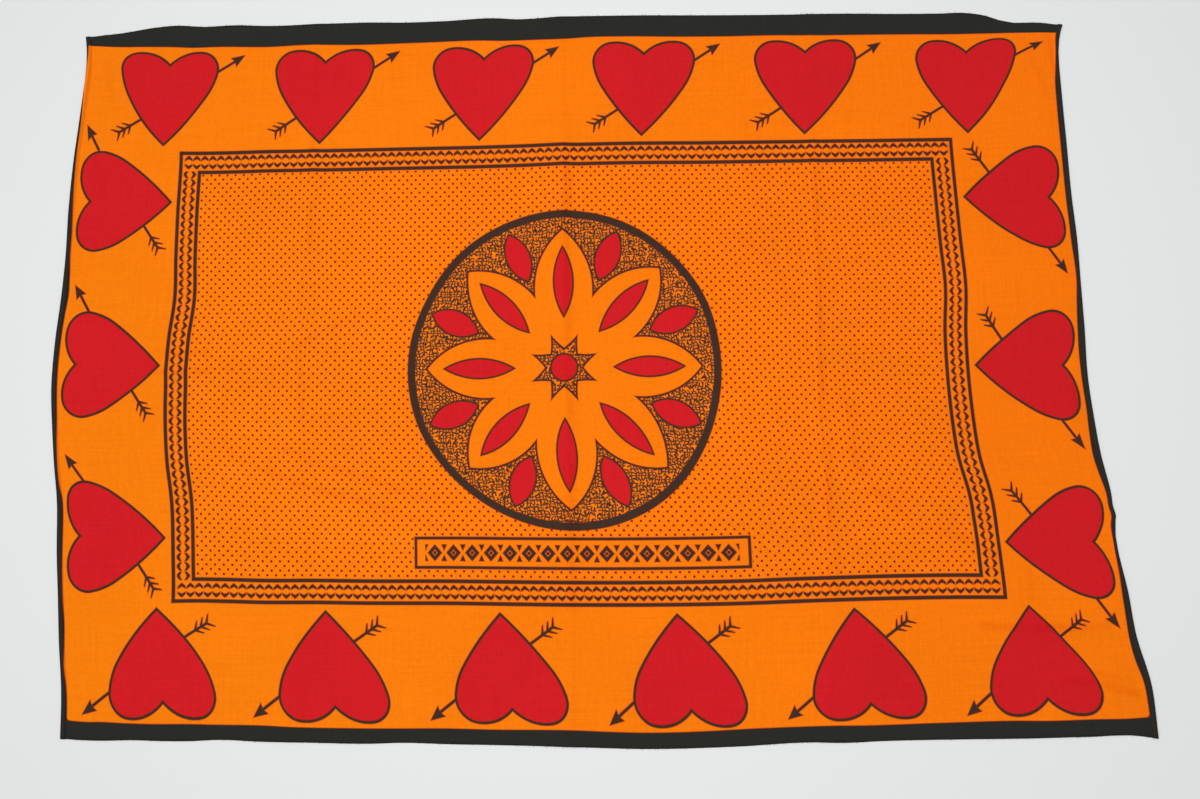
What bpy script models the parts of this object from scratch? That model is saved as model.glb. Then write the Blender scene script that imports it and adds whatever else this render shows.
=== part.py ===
"""Kanga wrap cloth laid out on a flat surface.

One oblong of printed cotton, woven edge to woven edge, with a narrow rolled hem at each
cut end. The cloth lies skewed, its edges wander a little, and it keeps three pressed
fold lines and some slack wrinkles. Metres, +Z up; the origin is under the middle of
the cloth's box, on the surface that it lies on.
"""

from typing import NamedTuple

import bpy
import numpy as np

MM = 0.001

# Driving dimensions of the cloth when it is pulled flat and square.
CLOTH_LENGTH = 1.500
CLOTH_DEPTH = 1.046
WALL = 0.0012
HEM_WIDTH = 0.0070
HEM_THICKNESS = 0.0024
HEM_ROUND = 0.0006
SEAM_GAP = 0.0003

# Where the lower left corner of the square cloth would lie.
CORNER_X = -0.7664
CORNER_Y = -0.5326

# Spacing of the sections that the panel is made from.
COLUMN_STEP = 0.0250
ROW_STEP = 0.0300
HEM_STEP = 0.0300

# Creases die out this far from the hems, which lie flat.
FLAT_BY_HEM = 0.030

# The pressed folds are lower in the border than inside it.
BORDER = 0.150
BORDER_EASE = 0.060
CREASE_STEPS = 12
END_TAPER = 0.30

COTTON_ORANGE = (0.930, 0.205, 0.008)
HEM_DARK = (0.032, 0.026, 0.022)
COTTON_ROUGHNESS = 0.85


class Section(NamedTuple):
    """How far the cloth is drawn to the right, in mm, at one height above the lower edge."""

    height: float
    left_end: float
    left_border: float
    middle: float
    right_border: float
    right_end: float


SECTION_LINES = (0.0, 160.0, 740.0, 1321.0, 1500.0)
SECTIONS = (
    Section(0, 47.4, 40, 23, 36, 47.2),
    Section(60, 43.3, 37, 21, 35, 44.3),
    Section(130, 33.8, 33, 19, 34, 29.8),
    Section(195, 26.5, 32, 18, 34, 23.5),
    Section(260, 18.9, 27, 17, 30, 14),
    Section(288, 16.6, 24.6, 16.3, 28.2, 13.1),
    Section(301, 15.7, 23.4, 15.9, 27.3, 15.7),
    Section(314, 14.6, 22.1, 15.5, 26.1, 13),
    Section(330, 12.9, 20, 15, 24, 12),
    Section(390, 2.9, 9, 13, 11, 2),
    Section(440, -4.1, 3, 11, 6, -3),
    Section(500, -11, -1, 10, 3, -7),
    Section(570, -11.9, -2, 9, 3, -6),
    Section(640, -8.8, 3, 7, 7, -6),
    Section(700, -7.9, 0, 5, 4, -6),
    Section(770, -10, -2, 4, 1, -9),
    Section(850, -9, -3, 3, -2, -10),
    Section(910, -5.4, -8, 2, -2, -11),
    Section(970, -2.6, -9, 1, -3, -11),
    Section(1046, -7.8, -10, 0, -3, -1.5),
)


class Station(NamedTuple):
    """How far the cloth is drawn upwards, in mm, at one distance from the left end."""

    along: float
    lower_edge: float
    lower_band: float
    lower_border: float
    upper_border: float
    upper_band: float
    upper_edge: float


STATION_LINES = (0.0, 18.0, 188.0, 858.0, 1017.0, 1046.0)
STATIONS = (
    Station(0, 0, 1, -1, 5, 22, 7),
    Station(60, -2, 1, -1, 4, 20, 13),
    Station(110, -1, 1.6, -0.6, 3, 19, 21),
    Station(145, -2, 2, 0, 2, 19, 24),
    Station(190, -2, 2, 1, 1, 19, 21),
    Station(235, 0, 1, 0.4, 1, 18.6, 22.7),
    Station(290, -2, 0, -1, 2, 18, 20.5),
    Station(365, -3, -1, -1, 2, 18, 22.6),
    Station(450, -4, -2, -2, 3, 19, 23.6),
    Station(500, -2.6, -2, -2, 3.5, 19.4, 22.5),
    Station(560, -4, -2, -2, 4, 20, 23.6),
    Station(640, -5, -4, -3, 5, 22, 27),
    Station(665, -5.4, -4.4, -3.3, 5.5, 22.6, 25),
    Station(740, -7, -5, -4, 7, 24, 28),
    Station(840, -9, -5, -4, 8, 24, 28),
    Station(960, -5, -3, -2, 7, 23, 26),
    Station(1060, 1, 1, 2, 7, 22, 25),
    Station(1100, 0.5, 3, 3.4, 7, 22, 25),
    Station(1150, 3, 5, 5, 7, 22, 25),
    Station(1260, 6, 9, 7, 7, 21, 22.6),
    Station(1316, 7, 11, 7, 7, 20.5, 22),
    Station(1355, 8, 12, 7, 7.2, 20, 22.5),
    Station(1382, 9, 12.6, 7.5, 7.4, 19.6, 18.5),
    Station(1415, 10, 13, 8, 9, 19, 7),
    Station(1470, 12, 12, 8, 9, 18, 4),
    Station(1500, 8, 12, 7, 9, 17, 0),
)


class Fold(NamedTuple):
    """A pressed fold from edge to edge: mm from the left end, its rises and its two flanks."""

    lower_along: float
    upper_along: float
    rise: float
    border_rise: float
    left_flank: float
    right_flank: float


FOLDS = (
    Fold(341, 366, 1.7, 0.7, 34, 20),
    Fold(738, 738, 3.2, 1.2, 70, 24),
    Fold(1083, 1120, 1.6, 0.6, 20, 16),
)


class Wrinkle(NamedTuple):
    """A slack wrinkle: its start, bend and end on the surface, its rise and reach, in mm."""

    start_x: float
    start_y: float
    bend_x: float
    bend_y: float
    end_x: float
    end_y: float
    rise: float
    reach: float


WRINKLES = (
    Wrinkle(-520, -92, -488, -172, -325, -197, 1.7, 30),
    Wrinkle(-350, -194, -250, -226, -108, -252, 1.8, 30),
    Wrinkle(-448, -120, -330, -162, -169, -204, 1.5, 26),
    Wrinkle(-425, 12, -370, 60, -290, 92, 1.4, 28),
    Wrinkle(372, -40, 396, -120, 407, -176, 1.6, 30),
    Wrinkle(398, -166, 450, -225, 590, -283, 1.6, 30),
    Wrinkle(130, 222, 240, 190, 314, 64, 0.9, 34),
    Wrinkle(545, -374, 640, -381, 735, -372, 2.4, 26),
    Wrinkle(645, -448, 705, -448, 767, -466, 1.8, 22),
    Wrinkle(-644, -10, -580, -16, -484, -8, 1.6, 28),
)


def clear_scene():
    """Remove every object of the open file."""
    for item in list(bpy.data.objects):
        bpy.data.objects.remove(item, do_unlink=True)


def through(at, knots, values):
    """Smooth curve through the knots: cubic pieces whose slopes are weighted neighbour slopes."""
    knots = np.asarray(knots, float)
    values = np.asarray(values, float)
    width = np.diff(knots)[:, None]
    slope = np.diff(values, axis=0) / width
    tangent = np.empty_like(values)
    tangent[0], tangent[-1] = slope[0], slope[-1]
    tangent[1:-1] = (slope[:-1] * width[1:] + slope[1:] * width[:-1]) / (width[1:] + width[:-1])
    piece = np.clip(np.searchsorted(knots, at) - 1, 0, len(width) - 1)
    step = width[piece]
    part = (np.asarray(at, float)[:, None] - knots[piece][:, None]) / step
    rest = 1.0 - part
    return (
        (1 + 2 * part) * rest**2 * values[piece]
        + part * rest**2 * step * tangent[piece]
        + part**2 * (3 - 2 * part) * values[piece + 1]
        - part**2 * rest * step * tangent[piece + 1]
    )


def lie(u, v):
    """Places on the surface of the cloth's points, u from the left end and v from the lower edge.

    u holds the columns of every row, or one row of columns that all the rows share.
    """
    u = np.broadcast_to(u, (len(v), np.shape(u)[-1]))
    heights, pulls_at = np.array(SECTIONS)[:, 0], np.array(SECTIONS)[:, 1:]
    alongs, lifts_at = np.array(STATIONS)[:, 0], np.array(STATIONS)[:, 1:]
    x, y = np.empty(u.shape), np.empty(u.shape)
    for row, pulls in enumerate(through(v / MM, heights, pulls_at)):
        lifts = through(u[row] / MM, alongs, lifts_at).T
        x[row] = CORNER_X + u[row] + through(u[row] / MM, SECTION_LINES, pulls[:, None])[:, 0] * MM
        y[row] = CORNER_Y + v[row] + through(v[row:row + 1] / MM, STATION_LINES, lifts)[0] * MM
    return x, y


def fold_rise(u, v):
    """Height of the pressed folds: a sharp crest with flanks that run out into the flat cloth."""
    inside = np.clip((np.minimum(v, CLOTH_DEPTH - v) - BORDER) / BORDER_EASE, 0.0, 1.0)[:, None]
    share = v[:, None] / CLOTH_DEPTH
    rise = np.zeros(u.shape)
    for fold in FOLDS:
        off = u / MM - fold.lower_along - (fold.upper_along - fold.lower_along) * share
        flank = np.where(off < 0, fold.left_flank, fold.right_flank)
        crest = (fold.border_rise + (fold.rise - fold.border_rise) * inside) * MM
        rise += crest * np.clip(1.0 - np.abs(off) / flank, 0.0, 1.0) ** 1.5
    return rise


def wrinkle_rise(x, y, wrinkle):
    """Height of one wrinkle: a round bump across a curved line, dying away at both ends."""
    t = np.linspace(0.0, 1.0, CREASE_STEPS + 1)
    line_x = (1 - t)**2 * wrinkle.start_x + 2 * t * (1 - t) * wrinkle.bend_x + t**2 * wrinkle.end_x
    line_y = (1 - t)**2 * wrinkle.start_y + 2 * t * (1 - t) * wrinkle.bend_y + t**2 * wrinkle.end_y
    nearest = np.full(x.shape, np.inf)
    where = np.zeros(x.shape)
    for i in range(CREASE_STEPS):
        step_x, step_y = line_x[i + 1] - line_x[i], line_y[i + 1] - line_y[i]
        off_x, off_y = x / MM - line_x[i], y / MM - line_y[i]
        part = np.clip((off_x * step_x + off_y * step_y) / (step_x**2 + step_y**2), 0.0, 1.0)
        away = np.hypot(off_x - part * step_x, off_y - part * step_y)
        closer = away < nearest
        nearest = np.where(closer, away, nearest)
        where = np.where(closer, (i + part) / CREASE_STEPS, where)
    taper = np.clip(np.minimum(where, 1.0 - where) / END_TAPER, 0.0, 1.0)
    bump = np.clip(1.0 - (nearest / wrinkle.reach)**2, 0.0, 1.0)**2
    return wrinkle.rise * MM * bump * taper * (2.0 - taper)


def cloth_rise(u, v, x, y):
    """Height of the cloth's underside above the surface; flat beside the two hems."""
    rise = fold_rise(u, v) + sum(wrinkle_rise(x, y, wrinkle) for wrinkle in WRINKLES)
    inset = np.minimum(u, CLOTH_LENGTH - u) - HEM_WIDTH
    return rise * np.clip(inset / FLAT_BY_HEM, 0.0, 1.0)


def even(start, stop, step):
    """Evenly spaced distances from start to stop, about a step apart."""
    return np.linspace(start, stop, int(round((stop - start) / step)) + 1)


def panel_columns(v):
    """Distances of the panel's points from the left end, in columns that follow the folds."""
    inner = HEM_WIDTH + SEAM_GAP
    lower = even(inner, CLOTH_LENGTH - inner, COLUMN_STEP)
    starts, ends = [inner], [inner]
    for fold in FOLDS:
        left, right = fold.left_flank, fold.right_flank
        near = np.array([-left, -left / 2, -left / 5, 0, right / 3, right]) * MM
        middle = fold.lower_along * MM
        lower = lower[(lower < middle + near[0] - WALL) | (lower > middle + near[-1] + WALL)]
        lower = np.sort(np.concatenate([lower, middle + near]))
        starts += [middle + near[0], middle + near[-1]]
        ends += [fold.upper_along * MM + near[0], fold.upper_along * MM + near[-1]]
    starts.append(CLOTH_LENGTH - inner)
    ends.append(CLOTH_LENGTH - inner)
    upper = np.interp(lower, starts, ends)
    return lower[None, :] + (upper - lower)[None, :] * v[:, None] / CLOTH_DEPTH


def closed_body(name, points, faces, material):
    """One mesh object from points and faces, with its own material."""
    mesh = bpy.data.meshes.new(name)
    mesh.from_pydata(points, [], faces)
    mesh.materials.append(material)
    mesh.shade_smooth()
    mesh.update()
    body = bpy.data.objects.new(name, mesh)
    bpy.context.collection.objects.link(body)
    return body


def cotton(name, colour):
    """A matt cotton material."""
    material = bpy.data.materials.new(name)
    material.use_nodes = True
    shader = material.node_tree.nodes["Principled BSDF"]
    shader.inputs["Base Color"].default_value = (*colour, 1.0)
    shader.inputs["Roughness"].default_value = COTTON_ROUGHNESS
    shader.inputs["Metallic"].default_value = 0.0
    return material


def cloth_panel():
    """The printed panel: a wall of even thickness, its upper grid, its lower grid and a rim."""
    v = even(0.0, CLOTH_DEPTH, ROW_STEP)
    u = panel_columns(v)
    x, y = lie(u, v)
    under = cloth_rise(u, v, x, y)
    lower = np.stack([x, y, under], axis=-1).reshape(-1, 3)
    upper = lower + (0.0, 0.0, WALL)
    points = np.concatenate([upper, lower])
    count = len(upper)
    rows, cols = x.shape
    number = np.arange(count).reshape(rows, cols)
    quads = np.stack(
        [number[:-1, :-1], number[:-1, 1:], number[1:, 1:], number[1:, :-1]], axis=-1
    ).reshape(-1, 4)
    rim = np.concatenate(
        [number[0, :], number[1:, -1], number[-1, -2::-1], number[-2:0:-1, 0]]
    )
    after = np.roll(rim, -1)
    wall = np.stack([rim, rim + count, after + count, after], axis=-1)
    faces = np.concatenate([quads, quads[:, ::-1] + count, wall])
    return closed_body("cloth_panel", points, faces.tolist(), cotton("printed_cotton", COTTON_ORANGE))


def hem_profile():
    """Half of the hem's section, from its inner foot round its rolled outer edge, as (in, up)."""
    return np.array([
        (HEM_WIDTH, 0.0),
        (HEM_WIDTH, HEM_THICKNESS - HEM_ROUND),
        (HEM_WIDTH - HEM_ROUND, HEM_THICKNESS),
        (HEM_ROUND, HEM_THICKNESS),
        (0.0, HEM_THICKNESS - HEM_ROUND),
        (0.0, HEM_ROUND),
        (HEM_ROUND, 0.0),
    ])


def hem(name, material, at_right):
    """A rolled hem: its section carried along one cut end from the lower to the upper edge."""
    profile = hem_profile()
    v = even(0.0, CLOTH_DEPTH, HEM_STEP)
    x, y = lie(CLOTH_LENGTH - profile[:, 0] if at_right else profile[:, 0], v)
    z = np.broadcast_to(profile[:, 1], x.shape)
    points = np.stack([x, y, z], axis=-1).reshape(-1, 3)
    rows, sides = x.shape
    number = np.arange(rows * sides).reshape(rows, sides)
    after = np.roll(number, -1, axis=1)
    skin = np.stack([number[:-1], after[:-1], after[1:], number[1:]], axis=-1).reshape(-1, 4)
    faces = [*skin.tolist(), number[0, ::-1].tolist(), number[-1].tolist()]
    if not at_right:
        faces = [face[::-1] for face in faces]
    return closed_body(name, points, faces, material)


def main():
    """Build the panel and its two hems."""
    clear_scene()
    cloth_panel()
    hem_cotton = cotton("hem_cotton", HEM_DARK)
    hem("hem_left_end", hem_cotton, at_right=False)
    hem("hem_right_end", hem_cotton, at_right=True)


main()
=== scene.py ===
"""Looks of a kanga wrap cloth laid out flat: the printed sheet, its hems, stitching and selvedge.

Lengths in the tables are millimetres and everything else is metres. Flat places on the cloth are
given as along, from the left cut end, and across, from the lower woven edge.
"""

import logging
import math
from dataclasses import dataclass
from enum import Enum
from functools import reduce
from typing import NamedTuple, Union

import bpy
import numpy as np
from mathutils import Matrix, Vector


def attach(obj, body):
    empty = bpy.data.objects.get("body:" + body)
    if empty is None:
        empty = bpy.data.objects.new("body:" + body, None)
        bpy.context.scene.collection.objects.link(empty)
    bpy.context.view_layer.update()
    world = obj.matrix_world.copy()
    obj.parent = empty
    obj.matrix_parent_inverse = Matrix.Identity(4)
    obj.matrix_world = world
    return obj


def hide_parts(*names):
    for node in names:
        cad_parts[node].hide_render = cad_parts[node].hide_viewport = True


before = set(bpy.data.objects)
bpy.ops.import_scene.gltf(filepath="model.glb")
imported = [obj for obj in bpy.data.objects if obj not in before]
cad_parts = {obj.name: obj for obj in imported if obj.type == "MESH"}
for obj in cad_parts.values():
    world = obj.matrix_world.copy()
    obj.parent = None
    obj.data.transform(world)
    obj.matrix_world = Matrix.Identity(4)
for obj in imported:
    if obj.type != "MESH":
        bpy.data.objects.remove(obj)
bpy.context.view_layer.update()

LOG = logging.getLogger("kanga")
MM = 0.001
TURN = 2.0 * math.pi
BODY = "root"

Grid = np.ndarray
Colour = tuple[float, float, float]
Number = Union["Wire", float]
Dye = Union[Colour, "Carried"]


# ------------------------------------------------------------------ how the cloth lies


class Section(NamedTuple):
    """How far the cloth is drawn to the right, in mm, at one height above the lower edge."""

    height: float
    left_end: float
    left_border: float
    middle: float
    right_border: float
    right_end: float


class Station(NamedTuple):
    """How far the cloth is drawn upwards, in mm, at one distance from the left end."""

    along: float
    lower_edge: float
    lower_band: float
    lower_border: float
    upper_border: float
    upper_band: float
    upper_edge: float


class Fold(NamedTuple):
    """An ironed-in fold from edge to edge: mm from the left end, its rises and its two flanks."""

    lower_along: float
    upper_along: float
    rise: float
    border_rise: float
    left_flank: float
    right_flank: float


class Wrinkle(NamedTuple):
    """A slack wrinkle: its start, bend and end on the surface, its rise and reach, in mm."""

    start_x: float
    start_y: float
    bend_x: float
    bend_y: float
    end_x: float
    end_y: float
    rise: float
    reach: float


class Ripple(NamedTuple):
    """One even wave of slack: its length in mm, its heading in degrees, its start and height."""

    length: float
    heading: float
    start: float
    height: float


# Where the sections' five pulls and the stations' six stand, in mm along and across the cloth.
SECTION_LINES = (0.0, 160.0, 740.0, 1321.0, 1500.0)
SECTIONS = [Section(*row) for row in (
    (0, 47.4, 40, 23, 36, 47.2), (60, 43.3, 37, 21, 35, 44.3), (130, 33.8, 33, 19, 34, 29.8),
    (195, 26.5, 32, 18, 34, 23.5), (260, 18.9, 27, 17, 30, 14), (288, 16.6, 24.6, 16.3, 28.2, 13.1),
    (301, 15.7, 23.4, 15.9, 27.3, 15.7), (314, 14.6, 22.1, 15.5, 26.1, 13), (330, 12.9, 20, 15, 24, 12),
    (390, 2.9, 9, 13, 11, 2), (440, -4.1, 3, 11, 6, -3), (500, -11, -1, 10, 3, -7),
    (570, -11.9, -2, 9, 3, -6), (640, -8.8, 3, 7, 7, -6), (700, -7.9, 0, 5, 4, -6),
    (770, -10, -2, 4, 1, -9), (850, -9, -3, 3, -2, -10), (910, -5.4, -8, 2, -2, -11),
    (970, -2.6, -9, 1, -3, -11), (1046, -7.8, -10, 0, -3, -1.5),
)]
STATION_LINES = (0.0, 18.0, 188.0, 858.0, 1017.0, 1046.0)
STATIONS = [Station(*row) for row in (
    (0, 0, 1, -1, 5, 22, 7), (60, -2, 1, -1, 4, 20, 13), (110, -1, 1.6, -0.6, 3, 19, 21),
    (145, -2, 2, 0, 2, 19, 24), (190, -2, 2, 1, 1, 19, 21), (235, 0, 1, 0.4, 1, 18.6, 22.7),
    (290, -2, 0, -1, 2, 18, 20.5), (365, -3, -1, -1, 2, 18, 22.6), (450, -4, -2, -2, 3, 19, 23.6),
    (500, -2.6, -2, -2, 3.5, 19.4, 22.5), (560, -4, -2, -2, 4, 20, 23.6), (640, -5, -4, -3, 5, 22, 27),
    (665, -5.4, -4.4, -3.3, 5.5, 22.6, 25), (740, -7, -5, -4, 7, 24, 28), (840, -9, -5, -4, 8, 24, 28),
    (960, -5, -3, -2, 7, 23, 26), (1060, 1, 1, 2, 7, 22, 25), (1100, 0.5, 3, 3.4, 7, 22, 25),
    (1150, 3, 5, 5, 7, 22, 25), (1260, 6, 9, 7, 7, 21, 22.6), (1316, 7, 11, 7, 7, 20.5, 22),
    (1355, 8, 12, 7, 7.2, 20, 22.5), (1382, 9, 12.6, 7.5, 7.4, 19.6, 18.5), (1415, 10, 13, 8, 9, 19, 7),
    (1470, 12, 12, 8, 9, 18, 4), (1500, 8, 12, 7, 9, 17, 0),
)]
FOLDS = (
    Fold(341, 366, 1.7, 0.7, 34, 20),
    Fold(738, 738, 3.2, 1.2, 70, 24),
    Fold(1083, 1120, 1.6, 0.6, 20, 16),
)
BROAD_WRINKLES = [Wrinkle(*row) for row in (
    (-520, -92, -488, -172, -325, -197, 1.7, 30), (-350, -194, -250, -226, -108, -252, 1.8, 30),
    (-448, -120, -330, -162, -169, -204, 1.5, 26), (-425, 12, -370, 60, -290, 92, 1.4, 28),
    (372, -40, 396, -120, 407, -176, 1.6, 30), (398, -166, 450, -225, 590, -283, 1.6, 30),
    (130, 222, 240, 190, 314, 64, 0.9, 34), (545, -374, 640, -381, 735, -372, 2.4, 26),
    (645, -448, 705, -448, 767, -466, 1.8, 22), (-644, -10, -580, -16, -484, -8, 1.6, 28),
)]
# Short sharp stretches that make up the ironed lines and the creases, where shade is also painted:
# centre fold, left fold, right fold, right curve, the two long creases at the left, and the small ones.
SHARP_WRINKLES = [Wrinkle(*row) for row in (
    (-28, 533, -26, 443, -24, 356, 0.30, 12), (-24, 348, -16, 233, -24, 163, 1.00, 12),
    (-23, 182, -18, 89, -19, 0, 0.85, 11), (-19, 15, -13, -56, -12, -139, 0.62, 11),
    (-12, -132, -12, -204, -12, -274, 0.95, 12), (-12, -260, -9, -321, -10, -359, 0.85, 11),
    (-8, -370, -9, -474, -5, -538, 0.30, 9), (-409, 501, -407, 437, -407, 397, 0.60, 8),
    (-407, 397, -407, 331, -406, 257, 0.55, 8), (-406, 265, -403, 195, -407, 152, 0.70, 8),
    (-410, 143, -409, 113, -410, 66, 0.50, 8), (-411, 25, -408, -31, -406, -101, 0.60, 8),
    (-406, -116, -401, -291, -391, -452, 0.15, 8), (-401, -482, -400, -507, -398, -538, 0.35, 6),
    (-386, -482, -384, -507, -383, -538, 0.35, 6), (346, 513, 345, 406, 346, 334, 0.30, 8),
    (347, 334, 348, 240, 349, 144, 0.90, 7), (350, 155, 348, 86, 349, 20, 0.95, 7),
    (349, 12, 349, -23, 349, -64, 0.85, 7), (352, -140, 353, -228, 349, -276, 1.00, 7),
    (350, -271, 350, -308, 350, -345, 0.55, 7), (349, -356, 346, -454, 346, -535, 0.17, 8),
    (372, -44, 396, -95, 386, -128, 0.70, 10), (386, -119, 391, -156, 407, -176, 1.00, 11),
    (404, -173, 430, -207, 468, -229, 0.87, 11), (486, -242, 542, -252, 553, -267, 0.72, 10),
    (544, -261, 574, -278, 591, -283, 0.85, 10), (-520, -93, -516, -137, -472, -153, 0.68, 9),
    (-475, -152, -402, -179, -383, -185, 0.85, 9), (-386, -184, -358, -197, -325, -198, 0.90, 9),
    (-335, -195, -292, -210, -252, -223, 0.95, 9), (-255, -221, -222, -238, -175, -244, 0.65, 9),
    (-183, -243, -145, -249, -108, -252, 0.40, 9), (-448, -120, -401, -138, -361, -154, 0.55, 9),
    (-370, -149, -341, -163, -311, -168, 0.80, 9), (-314, -167, -276, -183, -244, -191, 0.75, 9),
    (-249, -190, -216, -200, -169, -204, 0.50, 9), (-644, -12, -584, -16, -537, -13, 1.00, 9),
    (-537, -12, -512, -6, -481, -6, 0.35, 9), (-641, 18, -589, 12, -539, 15, 0.70, 9),
    (-622, 48, -581, 48, -558, 34, 0.45, 10), (-425, 13, -407, 35, -376, 41, 0.80, 9),
    (-379, 40, -344, 68, -316, 67, 0.65, 9), (-324, 65, -302, 69, -286, 94, 0.40, 9),
    (545, -374, 577, -380, 621, -378, 1.30, 9), (616, -378, 660, -378, 710, -378, 1.35, 9),
    (705, -378, 722, -378, 735, -367, 0.55, 9), (645, -450, 675, -449, 710, -452, 1.25, 8),
    (704, -451, 736, -462, 767, -467, 1.30, 8), (695, -434, 713, -442, 742, -450, 0.90, 7),
    (619, -294, 630, -315, 622, -346, 0.60, 10), (-738, 489, -734, 442, -721, 409, 0.80, 8),
    (-723, 415, -713, 384, -707, 359, 0.35, 8), (-746, 465, -739, 429, -736, 404, 0.45, 7),
    (-738, 321, -739, 307, -739, 290, 0.50, 8), (90, 235, 150, 213, 208, 190, 0.25, 10),
    (201, 193, 279, 188, 317, 60, 0.35, 10), (664, 505, 690, 440, 702, 392, 0.40, 9),
    (712, 510, 710, 470, 716, 430, 1.10, 6), (-529, -432, -507, -435, -483, -432, 0.80, 7),
)]
RIPPLES = (
    Ripple(310, 24, 0.3, 0.16),
    Ripple(210, 101, 1.9, 0.13),
    Ripple(147, 62, 4.1, 0.10),
    Ripple(119, -38, 2.6, 0.08),
    Ripple(83, 12, 5.2, 0.05),
    Ripple(71, 83, 0.9, 0.045),
    Ripple(47, -57, 3.3, 0.022),
    Ripple(39, 35, 1.1, 0.018),
)


def through(at: Grid, knots: Grid, values: Grid) -> Grid:
    """Smooth curve through the knots: cubic pieces whose slopes are weighted neighbour slopes.

    Args:
        at: Distances to read the curve at.
        knots: Distances of the knots, rising.
        values: One row of values for each knot.

    Returns:
        One row of values for each distance.
    """
    knots = np.asarray(knots, float)
    values = np.asarray(values, float)
    width = np.diff(knots)[:, None]
    slope = np.diff(values, axis=0) / width
    tangent = np.empty_like(values)
    tangent[0], tangent[-1] = slope[0], slope[-1]
    tangent[1:-1] = (slope[:-1] * width[1:] + slope[1:] * width[:-1]) / (width[1:] + width[:-1])
    piece = np.clip(np.searchsorted(knots, at) - 1, 0, len(width) - 1)
    step = width[piece]
    part = (np.asarray(at, float)[:, None] - knots[piece][:, None]) / step
    rest = 1.0 - part
    return (
        (1 + 2 * part) * rest**2 * values[piece]
        + part * rest**2 * step * tangent[piece]
        + part**2 * (3 - 2 * part) * values[piece + 1]
        - part**2 * rest * step * tangent[piece + 1]
    )


def smooth(low: float, high: float, at: Grid) -> Grid:
    """Ease from 0 at low to 1 at high: 3 t squared less 2 t cubed, for t clipped to 0..1.

    Args:
        low: Where the ease starts.
        high: Where it ends.
        at: Values to ease.

    Returns:
        The eased share of each value.
    """
    part = np.clip((at - low) / (high - low), 0.0, 1.0)
    return part * part * (3.0 - 2.0 * part)


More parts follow.
